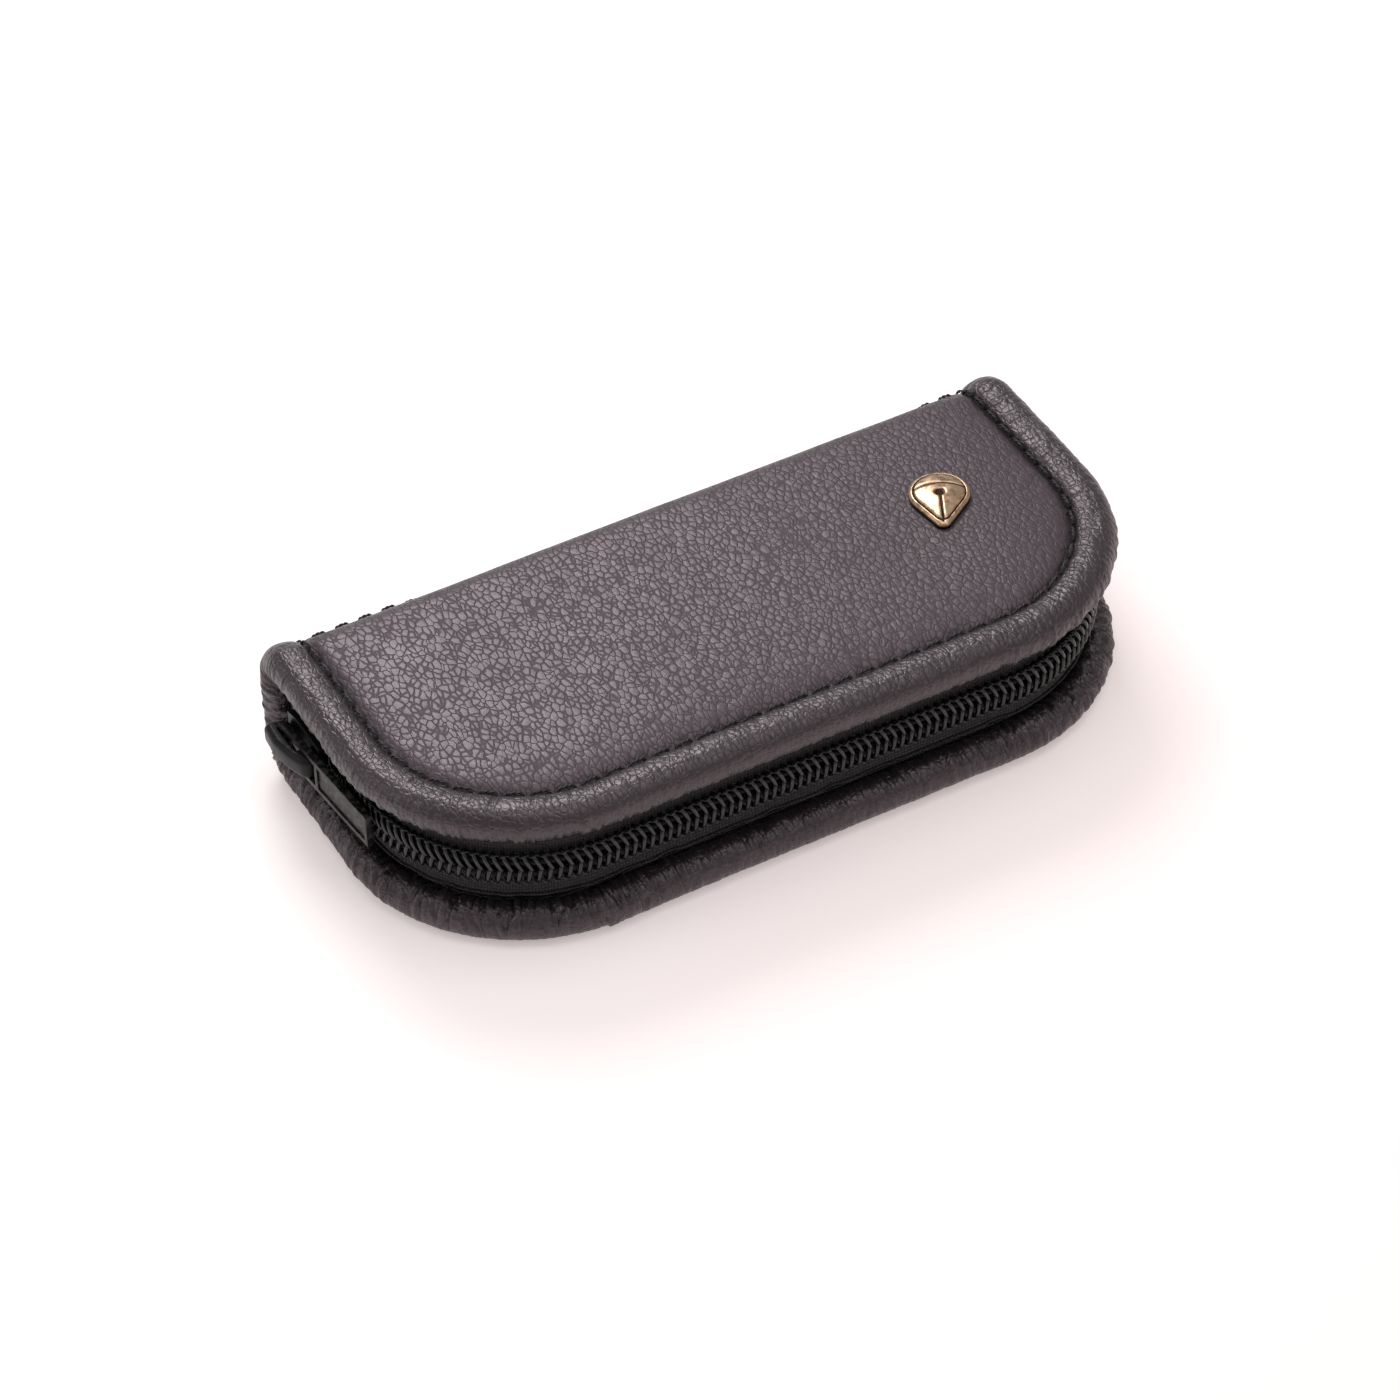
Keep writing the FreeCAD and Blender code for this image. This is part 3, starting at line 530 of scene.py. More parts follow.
def zip_tape(lid):
    """Woven tape from the chain down to its hem, then in over the roll to the seam."""
    side = "lid" if lid else "base"
    back = CHAIN + 1.25 * MM
    corners = [(back, CHAIN_Z - 0.7 * MM), (back, CHAIN_Z - 2.6 * MM), (back + 0.1 * MM, CHAIN_Z - 4.6 * MM),
               (back + 0.1 * MM, CHAIN_Z - 6.2 * MM), (back - 0.15 * MM, CHAIN_Z - 7.1 * MM),
               (back + 0.35 * MM, CHAIN_Z - 7.7 * MM), (back + 1.3 * MM, CHAIN_Z - 8.6 * MM),
               (SEAM + 0.1 * MM, FLOOR + 0.9 * MM), (SEAM + 0.2 * MM, FLOOR + 0.1 * MM)]
    tape = strip_section(f"{side}_tape_cloth", corners)
    with editing(tape):
        bpy.ops.mesh.select_all(action="SELECT")
        round_the_rim(tape, CHAIN, TAPE_Y, 0.8 * MM)
    with editing(tape):
        bpy.ops.mesh.select_all(action="SELECT")
        bpy.ops.mesh.remove_doubles(threshold=MERGE)
        bpy.ops.mesh.normals_make_consistent(inside=False)
    points = points_of(tape)
    hem = CHAIN_Z - 7.1 * MM
    for place in points:
        _, along = rim_place(place[0], place[1])
        near_hem = math.exp(-((place[2] - hem) / (1.1 * MM)) ** 2)
        place[2] += near_hem * hem_wave(along, lid)
    place_points(tape, points)
    modify(tape, "SOLIDIFY", thickness=0.5 * MM, offset=0.0, use_even_offset=True)
    modify(tape, "SUBSURF", levels=1, render_levels=1)
    edge = []
    for x, y, _ in rim_walk(CHAIN + 0.6 * MM, TAPE_Y - 0.5 * MM, 0.9 * MM):
        edge.append((x, y, hem - 0.1 * MM + hem_wave(rim_place(x, y)[1], lid)))
    fold = tube(f"{side}_tape_fold", [edge], 0.2 * MM, 1)
    tape = join([tape, fold], f"{side}_tape_cloth")
    return finish_zip_piece(tape, lid, "zip_tape", f"{side}_zip_tape")


def finish_zip_piece(piece, lid, slot, *nodes):
    """Turns a piece of the base's half of the zip over for the lid, and puts it on its body."""
    if lid:
        points = points_of(piece)
        points[:, 2] = TOP - points[:, 2]
        place_points(piece, points)
    outward_normals(piece)
    smooth(piece, 50)
    hang(piece, lid, slot, *nodes, wrapped=False)
    piece.data.materials.append(MATERIALS[slot])
    return piece


def tube(name, splines, radius, sides=2):
    """Mesh tube along lists of points."""
    curve = bpy.data.curves.new(name, "CURVE")
    curve.dimensions = "3D"
    curve.bevel_depth = radius
    curve.bevel_resolution = sides
    curve.use_fill_caps = True
    curve.resolution_u = 1
    for points in splines:
        spline = curve.splines.new("NURBS")
        spline.points.add(len(points) - 1)
        for point, place in zip(spline.points, points):
            point.co = (*place, 1)
        spline.order_u = 3
        spline.use_endpoint_u = True
    wire = bpy.data.objects.new(name, curve)
    bpy.context.collection.objects.link(wire)
    active(wire)
    bpy.ops.object.convert(target="MESH")
    return bpy.context.object


def coil(lid):
    """Nylon wire wound into flat turns whose heads hook between those of the other half."""
    side = "lid" if lid else "base"
    pitch, steps = 1.75 * MM, 14
    ends = list(rim_walk(CHAIN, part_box(f"{side}_coil")[1][1] - 0.5 * MM, pitch / steps))
    if lid:
        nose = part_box("slider_body")[0][1] - 0.3 * MM
        ends = [end for end in ends if end[0] > -CORNER_X or end[1] < nose]
    half_tall, half_thick, lean = 1.72 * MM, 0.92 * MM, (0.5 if lid else 0.06) * MM
    wire_radius, thread_radius, core_radius = 0.42 * MM, 0.2 * MM, 0.5 * MM
    centre, sewn = CHAIN_Z - 1.32 * MM, CHAIN_Z - 3.0 * MM
    wire, thread = [], []
    for number, (x, y, heading) in enumerate(ends):
        phase = 2 * math.pi * number / steps + (math.pi if lid else 0)
        rise = math.cos(phase)
        rise = math.copysign(abs(rise) ** 0.75, rise)
        inward = Vector((-math.sin(heading), math.cos(heading), 0))
        along = Vector((math.cos(heading), math.sin(heading), 0))
        wire.append(Vector((x, y, centre + half_tall * rise)) + inward * half_thick * math.sin(phase)
                    + along * lean * rise)
        thread.append(Vector((x, y, sewn + 0.22 * MM * math.cos(phase + 0.6)))
                      - inward * (0.35 * MM + 0.3 * MM * math.sin(phase)))
    piece = tube(f"{side}_chain_coil", [wire], wire_radius)
    finish_zip_piece(piece, lid, "zip_coil", f"{side}_coil")
    sewing = tube(f"{side}_chain_thread", [thread], thread_radius, 1)
    finish_zip_piece(sewing, lid, "thread", f"{side}_coil_cord")
    core = [Vector((x, y, centre)) for x, y, _ in ends[::steps]]
    filler = tube(f"{side}_chain_core", [core], core_radius)
    finish_zip_piece(filler, lid, "coil_cord")


def metal_end(node, name, body, slot, bevel):
    """Merged copy of a hard part with its edges softened."""
    piece = bpy.data.objects.new(name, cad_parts[node].data.copy())
    piece.data.name = name
    piece.data.materials.clear()
    bpy.context.collection.objects.link(piece)
    with editing(piece):
        bpy.ops.mesh.select_all(action="SELECT")
        bpy.ops.mesh.remove_doubles(threshold=0.001 * MM)
        bpy.ops.mesh.dissolve_limited(angle_limit=math.radians(1))
        bpy.ops.mesh.normals_make_consistent(inside=False)
    modify(piece, "BEVEL", width=bevel, segments=4, limit_method="ANGLE", angle_limit=math.radians(25))
    smooth(piece, 40)
    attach(piece, body)
    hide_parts(node)
    piece.data.materials.append(MATERIALS[slot])
    return piece


def slider_crown():
    """Smooth hood over the slider's plate: high at the nose and low at the tail, with a slot for the pin."""
    low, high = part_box("slider_crown")
    size, middle = high - low, (high + low) / 2
    shoulder, near, proud = 4.5 * MM, 0.1 * MM, 0.9 * MM
    bpy.ops.mesh.primitive_cube_add(size=1, location=middle, scale=(size.x, size.y, size.z))
    hood = named("slider_hood")
    # parts of the outer face: where each is, and how far it is drawn
    pulls = [(lambda y: True, (-proud, 0, 0)),
             (lambda y: y > high.y - near, (0, 0.9 * MM, 0)),
             (lambda y: y < low.y + near, (2.2 * MM, 0.3 * MM, 0)),
             (lambda y: abs(y - low.y - shoulder) < near, (0.75 * MM, 0, 0)),
             (lambda y: y > high.y - near, (0.4 * MM, 0, 0))]
    with editing(hood):
        for cut in (low.y + shoulder, high.y - shoulder):
            bpy.ops.mesh.select_all(action="SELECT")
            bpy.ops.mesh.bisect(plane_co=(0, cut, 0), plane_no=(0, 1, 0))
        for part, pull in pulls:
            pick(hood, "verts", lambda vert: vert.co.x < middle.x and part(vert.co.y))
            bpy.ops.transform.translate(value=pull)
    modify(hood, "BEVEL", width=1.25 * MM, segments=6, limit_method="ANGLE", angle_limit=math.radians(35))
    bpy.ops.mesh.primitive_cube_add(size=1, location=(high.x - 1.5 * MM, middle.y + 1.2 * MM, middle.z),
                                    scale=(3.2 * MM, size.y - 5.6 * MM, size.z * 2))
    slot = named("pin_slot")
    modify(slot, "BEVEL", width=0.5 * MM, segments=4)
    modify(hood, "BOOLEAN", operation="DIFFERENCE", object=slot, solver="EXACT")
    bpy.data.objects.remove(slot)
    smooth(hood, 38)
    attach(hood, "slider")
    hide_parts("slider_crown")
    hood.data.materials.append(MATERIALS["black_enamel"])
    return hood


# ---------------------------------------------------------------- badge
BADGE_MIDDLE = Vector((47.3 * MM, 3.5 * MM, TOP))
BADGE_TURN = math.radians(65)
BADGE_LENGTH, BADGE_WIDTH, BADGE_RIM = 15 * MM, 11.5 * MM, 0.7 * MM
BADGE_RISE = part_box("badge")[1][2] - TOP
BADGE_CUT = 0.26 * MM


def drop_edge(angle):
    """Point on the badge's outline: a round end on +x and a blunt tip on -x."""
    far, tip = BADGE_LENGTH / 2 - BADGE_WIDTH / 2, 1.6 * MM
    near = tip - BADGE_LENGTH / 2
    lean = math.asin((BADGE_WIDTH / 2 - tip) / (far - near))
    reach = 0.0
    for centre, radius in ((far, BADGE_WIDTH / 2), (near, tip)):
        along, off = centre * math.cos(angle), centre * math.sin(angle)
        if abs(off) < radius:
            reach = max(reach, along + math.sqrt(radius ** 2 - off ** 2))
    up = abs(math.sin(angle)) * math.cos(lean) - math.cos(angle) * math.sin(lean)
    if up > 1e-6:
        side = (BADGE_WIDTH / 2 - far * math.sin(lean)) / up
        x = side * math.cos(angle)
        if near - tip * math.sin(lean) <= x <= far - BADGE_WIDTH / 2 * math.sin(lean):
            reach = max(reach, side)
    return reach * math.cos(angle), reach * math.sin(angle)


def engraved(x, y, share):
    """Depth of the engraving: a border line, a slit from the tip, a breather hole and a shoulder line."""
    border_share = 0.84
    border = math.exp(-((share - border_share) / 0.03) ** 2)
    hole = Vector((0.6 * MM, 0))
    slit = math.exp(-(y / (0.27 * MM)) ** 2) * (1 if -0.44 * BADGE_LENGTH < x < hole.x else 0)
    around = (Vector((x, y)) - hole).length
    breather = 1 / (1 + math.exp((around - 0.95 * MM) / (0.09 * MM)))
    shoulder = math.exp(-((x - 3.2 * MM + 0.045 / MM * y * y) / (0.3 * MM)) ** 2) * (share < border_share)
    return min(1.0, max(border, slit, breather, 0.8 * shoulder))


def badge():
    """Plain domed emblem in the form of a nib, engraved and darkened in its lines."""
    around, rings = 160, 46
    bpy.ops.mesh.primitive_circle_add(vertices=around, radius=1, fill_type="NGON")
    drop = named("nib_badge")
    with editing(drop):
        bpy.ops.mesh.select_all(action="SELECT")
        bpy.ops.mesh.extrude_region_move(TRANSFORM_OT_translate={"value": (0, 0, 1)})
        for ring in range(rings):
            bpy.ops.mesh.extrude_region_move(TRANSFORM_OT_translate={"value": (0, 0, 1)})
        bpy.ops.mesh.poke()
    points = points_of(drop)
    darkening_mask = drop.data.attributes.new("darkening_mask", "FLOAT", "POINT")
    depths = []
    for place in points:
        layer = round(place[2])
        angle = math.atan2(place[1], place[0])
        share = 1.0 if layer <= 1 else 1 - (layer - 1) / (rings + 0.6)
        if math.hypot(place[0], place[1]) < 0.5:
            share, layer = 0.0, rings + 2
        x, y = drop_edge(angle)
        x, y = x * share + 0.9 * MM * (1 - share), y * share
        cut = engraved(x, y, share) if layer > 1 else 0.0
        rise = BADGE_RIM if layer else 0.0
        if layer > 1:
            rise += (BADGE_RISE - BADGE_RIM) * (1 - share ** 2.2) ** 0.62
        place[:] = x, y, rise - BADGE_CUT * cut
        # Besides the engraved lines, the side wall is darkened too: 0.45 at its top edge, full at its bottom
        # against the leather.
        depths.append(cut if layer > 1 else (0.45 if layer else 1.0))
    place_points(drop, points)
    darkening_mask.data.foreach_set("value", depths)
    outward_normals(drop)
    with editing(drop):
        bpy.ops.mesh.select_mode(type="EDGE")
        form = bmesh.from_edit_mesh(drop.data)
        for edge in form.edges:
            edge.select = all(abs(vert.co.z - BADGE_RIM) < MERGE for vert in edge.verts)
        bmesh.update_edit_mesh(drop.data)
        bpy.ops.mesh.bevel(offset=0.16 * MM, segments=3, affect="EDGES")
    drop.data.transform(Matrix.Translation(BADGE_MIDDLE) @ Matrix.Rotation(BADGE_TURN, 4, "Z"))
    smooth(drop, 50)
    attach(drop, "lid")
    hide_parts("badge")
    drop.data.materials.append(MATERIALS["antique_brass"])
    return drop


# ---------------------------------------------------------------- inside
PEN_REACH, ARCH = 10.75 * MM, 7.75 * MM      # a pen's axis beside the middle, and its loop's radius
LOOP_AXIS = FLOOR + 7.25 * MM
LOOP_FOOT = FLOOR + 0.5 * MM
LOOP_END = 23 * MM
LOOP_THREAD = FLOOR + 1.05 * MM


def loop_path():
    """The band's middle line across the case: foot, arch, middle foot, arch, foot."""
    arch_steps = 16
    path = [(-LOOP_END, LOOP_FOOT), (-PEN_REACH - ARCH - 0.5 * MM, LOOP_FOOT)]
    for centre in (-PEN_REACH, PEN_REACH):
        path.append((centre - ARCH, LOOP_FOOT + 0.7 * MM))
        path.append((centre - ARCH, LOOP_AXIS - 3 * MM))
        for step in range(arch_steps + 1):
            turned = math.pi * step / arch_steps
            path.append((centre - ARCH * math.cos(turned), LOOP_AXIS + ARCH * math.sin(turned)))
        path.append((centre + ARCH, LOOP_AXIS - 3 * MM))
        path.append((centre + ARCH, LOOP_FOOT + 0.7 * MM))
        path.append((centre + ARCH + 0.6 * MM, LOOP_FOOT))
        if centre < 0:
            path.append((0.0, LOOP_FOOT))
            path.append((PEN_REACH - ARCH - 0.6 * MM, LOOP_FOOT))
    path.append((LOOP_END, LOOP_FOOT))
    return path


def pen_loop(label):
    """Ribbed elastic band over two pens."""
    low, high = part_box(label)
    path, cuts, rib_pitch = loop_path(), 55, 0.93 * MM
    bpy.ops.mesh.primitive_plane_add(size=1)
    band = named(label + "_band")
    with editing(band):
        pick(band, "verts", lambda vert: vert.co.y > 0)
        bpy.ops.mesh.delete(type="VERT")
    points = points_of(band)
    points[0], points[1] = (low.x, *path[0]), (high.x, *path[0])
    place_points(band, points)
    with editing(band):
        bpy.ops.mesh.select_all(action="SELECT")
        bpy.ops.mesh.subdivide(number_cuts=cuts)
        bpy.ops.mesh.select_all(action="SELECT")
        for before, after in zip(path, path[1:]):
            bpy.ops.mesh.extrude_region_move(TRANSFORM_OT_translate={
                "value": (0, after[0] - before[0], after[1] - before[1])})
    outward_normals(band)
    modify(band, "SOLIDIFY", thickness=0.9 * MM, offset=0.0, use_even_offset=True)
    modify(band, "SUBSURF", levels=1, render_levels=1)
    points, normals = points_of(band), normals_of(band)
    for place, normal in zip(points, normals):
        rib = math.cos(2 * math.pi * (place[0] - low.x) / rib_pitch)
        if abs(normal[0]) < 0.5:
            place += normal * (0.07 * MM * rib + 0.04 * MM * ripple(tuple(place), 3 * MM, 41))
    place_points(band, points)
    smooth(band, 60)
    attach(band, "base")
    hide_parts(label)
    band.data.materials.append(MATERIALS["elastic"])
    return band


def loop_stitches():
    """Short bars of stitches through the feet of both bands."""
    band_x, pitch = 38 * MM, 2.7 * MM
    places = [(side * band_x + (number - 2) * pitch, y, 0.0) for side in (-1, 1)
              for y in (-21 * MM, -0.8 * MM, 0.8 * MM, 21 * MM) for number in range(5)]
    bars = row_of_stitches("loop_bars", places, 2.3 * MM, 0.45 * MM, LOOP_THREAD)
    points = points_of(bars)
    points[:, 2] = 2 * LOOP_THREAD - points[:, 2]
    place_points(bars, points)
    outward_normals(bars)
    smooth(bars)
    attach(bars, "base")
    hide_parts("loop_stitching")
    bars.data.materials.append(MATERIALS["thread"])
    return bars


# ---------------------------------------------------------------- finishes
def add(tree, kind, inputs=None, **settings):
    """Node with its settings, and its inputs as values or as sockets to link."""
    made = tree.nodes.new("ShaderNode" + kind)
    for key, value in settings.items():
        setattr(made, key, value)
    for key, value in (inputs or {}).items():
        if isinstance(value, bpy.types.NodeSocket):
            tree.links.new(value, made.inputs[key])
        else:
            made.inputs[key].default_value = value
    return made


def sums(tree, operation, first, second=0.0, third=0.0):
    """One step of arithmetic."""
    return add(tree, "Math", {0: first, 1: second, 2: third}, operation=operation).outputs[0]


def remap(tree, value, low, high, to_low=0.0, to_high=1.0):
    """Smooth step of a value from one range to another."""
    return add(tree, "MapRange", {"Value": value, 1: low, 2: high, 3: to_low, 4: to_high},
               interpolation_type="SMOOTHSTEP").outputs[0]


def group(name, inputs, outputs):
    """New node group with named sockets; returns it with its input and output nodes."""
    tree = bpy.data.node_groups.new(name, "ShaderNodeTree")
    for label, kind, value in inputs:
        socket = tree.interface.new_socket(label, in_out="INPUT", socket_type="NodeSocket" + kind)
        if value is not None:
            socket.default_value = value
    for label, kind in outputs:
        tree.interface.new_socket(label, in_out="OUTPUT", socket_type="NodeSocket" + kind)
    return tree, tree.nodes.new("NodeGroupInput"), tree.nodes.new("NodeGroupOutput")


def leather_grain_group():
    """Domed pebbles parted by thin creases, with finer pebbles on them."""
    tree, given, made = group(
        "leather grain",
        [("Place", "Vector", None), ("Pebbles per metre", "Float", 800.0), ("Crease width", "Float", 0.12),
         ("Fine share", "Float", 0.35)],
        [("Height", "Float"), ("Crease", "Float")])
    count = given.outputs["Pebbles per metre"]
    stretch = (1.2, 0.78, 1.0)
    place = add(tree, "VectorMath", {0: given.outputs["Place"], 1: stretch},
                operation="MULTIPLY").outputs[0]
    warp = add(tree, "TexNoise", {"Vector": place, "Scale": sums(tree, "MULTIPLY", count, 0.55),
                                  "Detail": 2.0})
    shift = add(tree, "VectorMath", {0: warp.outputs["Color"], 1: (0.5, 0.5, 0.5)}, operation="SUBTRACT")
    wander = sums(tree, "DIVIDE", 0.85, count)
    moved = add(tree, "VectorMath", {0: shift.outputs[0], "Scale": wander}, operation="SCALE")
    warped = add(tree, "VectorMath", {0: place, 1: moved.outputs[0]}, operation="ADD").outputs[0]
    big = add(tree, "TexVoronoi", {"Vector": warped, "Scale": count, "Randomness": 1.0},
              feature="DISTANCE_TO_EDGE").outputs["Distance"]
    far = add(tree, "TexVoronoi", {"Vector": warped, "Scale": count, "Randomness": 1.0},
              feature="F1").outputs["Distance"]
    small = add(tree, "TexVoronoi", {"Vector": warped, "Scale": sums(tree, "MULTIPLY", count, 2.3)},
                feature="F1").outputs["Distance"]
    dust = add(tree, "TexNoise", {"Vector": place, "Scale": sums(tree, "MULTIPLY", count, 5.0),
                                  "Detail": 3.0})
    vary = add(tree, "TexNoise", {"Vector": place, "Scale": sums(tree, "MULTIPLY", count, 0.4)}).outputs[0]
    width = sums(tree, "MULTIPLY", given.outputs["Crease width"], remap(tree, vary, 0.36, 0.62, 0.45, 1.6))
    pebble = remap(tree, big, 0.0, width)
    dome = sums(tree, "MULTIPLY", sums(tree, "MULTIPLY", far, far), -1.8)
    fine = sums(tree, "MULTIPLY", sums(tree, "MULTIPLY", small, small), sums(
        tree, "MULTIPLY", given.outputs["Fine share"], -1.0))
    height = sums(tree, "ADD", sums(tree, "ADD", pebble, dome), fine)
    height = sums(tree, "MULTIPLY_ADD", dust.outputs[0], 0.05, height)
    tree.links.new(height, made.inputs["Height"])
    tree.links.new(sums(tree, "SUBTRACT", 1.0, pebble), made.inputs["Crease"])
    return tree


def drift_group():
    """Slow change over the surface, for tone and gloss."""
    tree, given, made = group(
        "surface drift", [("Place", "Vector", None), ("Patches per metre", "Float", 40.0),
                          ("Low", "Float", 0.0), ("High", "Float", 1.0)], [("Value", "Float")])
    cloud = add(tree, "TexNoise", {"Vector": given.outputs["Place"], "Detail": 5.0, "Roughness": 0.6,
                                   "Scale": given.outputs["Patches per metre"]})
    value = add(tree, "MapRange", {"Value": cloud.outputs[0], 1: 0.3, 2: 0.7, 3: given.outputs["Low"],
                                   4: given.outputs["High"]}).outputs[0]
    tree.links.new(value, made.inputs["Value"])
    return tree


def weave_group():
    """Threads over and under each other, from a flat pair of coordinates."""
    tree, given, made = group(
        "weave", [("Place", "Vector", None), ("Threads per metre", "Float", 2500.0)],
        [("Height", "Float")])
    scaled = add(tree, "VectorMath", {0: given.outputs["Place"], "Scale": given.outputs["Threads per metre"]},
                 operation="SCALE").outputs[0]
    parts = add(tree, "SeparateXYZ", {0: scaled}).outputs
    across = sums(tree, "ABSOLUTE", sums(tree, "SINE", sums(tree, "MULTIPLY", parts[0], math.pi)))
    down = sums(tree, "ABSOLUTE", sums(tree, "SINE", sums(tree, "MULTIPLY", parts[1], math.pi)))
    cell = sums(tree, "ADD", sums(tree, "FLOOR", parts[0]), sums(tree, "FLOOR", parts[1]))
    over = sums(tree, "FLOORED_MODULO", cell, 2.0)
    height = add(tree, "Mix", {0: over, 2: across, 3: down}).outputs[0]
    tree.links.new(height, made.inputs["Height"])
    return tree


def wear_group():
    """Rubbed edges: 1 where a corner is sharp and the rubbing has reached it."""
    tree, given, made = group(
        "edge wear", [("Place", "Vector", None), ("Patches per metre", "Float", 900.0),
                      ("Reach", "Float", 0.55)], [("Worn", "Float")])
    sharp = add(tree, "NewGeometry").outputs["Pointiness"]
    patch = add(tree, "TexNoise", {"Vector": given.outputs["Place"], "Detail": 4.0,
                                   "Scale": given.outputs["Patches per metre"]}).outputs[0]
    edge = remap(tree, sharp, given.outputs["Reach"], 0.64)
    worn = sums(tree, "MULTIPLY", edge, remap(tree, patch, 0.45, 0.65))
    tree.links.new(worn, made.inputs["Worn"])
    return tree


GROUPS = {"grain": leather_grain_group(), "drift": drift_group(), "weave": weave_group(),
          "wear": wear_group()}
MATERIALS = {}


class Finish:
    """A material under construction: its tree, its shader and its coordinates."""

    def __init__(self, slot, name, **plain):
        self.material = MATERIALS[slot] = bpy.data.materials.new(name)
        self.material.use_nodes = True
        self.tree = self.material.node_tree
        self.shader = self.tree.nodes["Principled BSDF"]
        coordinates = self.tree.nodes.new("ShaderNodeTexCoord").outputs
        self.place, self.sheet = coordinates["Object"], coordinates["UV"]
        for label, value in plain.items():
            self.shader.inputs[label.replace("_", " ")].default_value = value

    def use(self, kind, place=None, **values):
        """Places one of the shared groups."""
        made = self.tree.nodes.new("ShaderNodeGroup")
        made.node_tree = GROUPS[kind]
        self.tree.links.new(place or self.place, made.inputs["Place"])
        for label, value in values.items():
            made.inputs[label.replace("_", " ")].default_value = value
        return made.outputs

    def deepen(self, factor, colour, shade):
        """Turns a colour to a plain shade where a mask says."""
        mix = add(self.tree, "Mix", {0: factor, 6: colour, 7: (*shade, 1)}, data_type="RGBA")
        return mix.outputs[2]

    def tint(self, factor, first, second):
        """Colour between two plain ones, by a mask."""
        return self.deepen(factor, (*first, 1), second)

    def feed(self, label, socket):
        """Links a result to the shader."""
        self.tree.links.new(socket, self.shader.inputs[label])

    def bump(self, height, distance, strength):
        """Normal with the height's relief."""
        inputs = {"Height": height, "Distance": distance, "Strength": strength}
        return add(self.tree, "Bump", inputs).outputs[0]


def pebbled_leather():
    """Soft pebbled leather of the covers, with painted shade darkening the colour in its creases."""
    finish = Finish("panel_leather", "pebbled black leather", Specular_IOR_Level=0.9, Sheen_Weight=0.03,
                    Specular_Tint=(1.0, 0.84, 0.92, 1))
    grain = finish.use("grain", Pebbles_per_metre=720.0, Crease_width=0.13, Fine_share=0.5)
    tone = finish.use("drift", Patches_per_metre=25.0)["Value"]
    gloss = finish.use("drift", Patches_per_metre=90.0, Low=0.4, High=0.45)["Value"]
    colour = finish.tint(tone, (0.027, 0.018, 0.022), (0.033, 0.023, 0.028))
    # Painted shade: the crease mask draws the colour towards near black in the creases.
    crease = sums(finish.tree, "MULTIPLY", grain["Crease"], 0.6)
    finish.feed("Base Color", finish.deepen(crease, colour, (0.012, 0.009, 0.010)))
    finish.feed("Roughness", sums(finish.tree, "MULTIPLY_ADD", grain["Crease"], 0.25, gloss))
    finish.feed("Normal", finish.bump(grain["Height"], 0.055 * MM, 0.9))


def rolled_leather():
    """The same leather drawn tight over the edge cords, glossier, with a darker base colour as painted shade
    on the rolls and painted shade in its creases.
    """
    finish = Finish("roll_leather", "rolled black leather", Specular_IOR_Level=0.8, Sheen_Weight=0.03,
                    Specular_Tint=(1.0, 0.86, 0.92, 1))
    grain = finish.use("grain", Pebbles_per_metre=800.0, Crease_width=0.14, Fine_share=0.5)
    tone = finish.use("drift", Patches_per_metre=60.0)["Value"]
    gloss = finish.use("drift", Patches_per_metre=200.0, Low=0.32, High=0.4)["Value"]
    # Painted shade: the same leather gets about half the covers' colour, so the rolls read darker.
    colour = finish.tint(tone, (0.013, 0.009, 0.010), (0.019, 0.014, 0.016))
    # Painted shade: the crease mask draws the colour towards near black in the creases.
    crease = sums(finish.tree, "MULTIPLY", grain["Crease"], 0.5)
    finish.feed("Base Color", finish.deepen(crease, colour, (0.009, 0.008, 0.009)))
    finish.feed("Roughness", gloss)
    finish.feed("Normal", finish.bump(grain["Height"], 0.06 * MM, 0.8))


def brushed_lining():
    """Grey microfibre with a brushed nap."""
    finish = Finish("lining", "brushed microfibre", Roughness=0.9, Sheen_Weight=0.6, Sheen_Roughness=0.45,
                    Specular_IOR_Level=0.2)
    nap = finish.use("drift", Patches_per_metre=90.0)["Value"]
    fibre = finish.use("drift", Patches_per_metre=4200.0)["Value"]
    finish.feed("Base Color", finish.deepen(sums(finish.tree, "MULTIPLY", fibre, 0.4),
                                            finish.tint(nap, (0.022, 0.021, 0.024), (0.036, 0.034, 0.038)),
                                            (0.010, 0.009, 0.011)))
    finish.feed("Normal", finish.bump(fibre, 0.08 * MM, 0.6))


def woven(slot, name, threads, light, dark, depth):
    """Woven band or tape, laid out on its own flat coordinates, with painted shade: near black in the hollows
    between threads and lighter on their crowns.
    """
    finish = Finish(slot, name, Roughness=0.72, Sheen_Weight=0.04, Specular_IOR_Level=0.2)
    weave = finish.use("weave", finish.sheet, Threads_per_metre=threads)
    fuzz = finish.use("drift", Patches_per_metre=2500.0)["Value"]
    rise = sums(finish.tree, "MULTIPLY", weave["Height"], sums(finish.tree, "ADD", fuzz, 0.25))
    # Painted shade: the thread height sets the colour, near black in the hollows and lighter on the crowns.
    finish.feed("Base Color", finish.tint(rise, dark, light))
    finish.feed("Normal", finish.bump(rise, depth, 0.9))


def nylon():
    """Wire of the zip's coils."""
    finish = Finish("zip_coil", "black nylon wire", Specular_IOR_Level=0.5, IOR=1.53)
    tone = finish.use("drift", Patches_per_metre=300.0)["Value"]
    gloss = finish.use("drift", Patches_per_metre=700.0, Low=0.18, High=0.3)["Value"]
    fine = finish.use("drift", Patches_per_metre=6000.0)["Value"]
    finish.feed("Base Color", finish.tint(tone, (0.003, 0.003, 0.003), (0.007, 0.006, 0.007)))
    finish.feed("Roughness", gloss)
    finish.feed("Normal", finish.bump(fine, 0.01 * MM, 0.5))


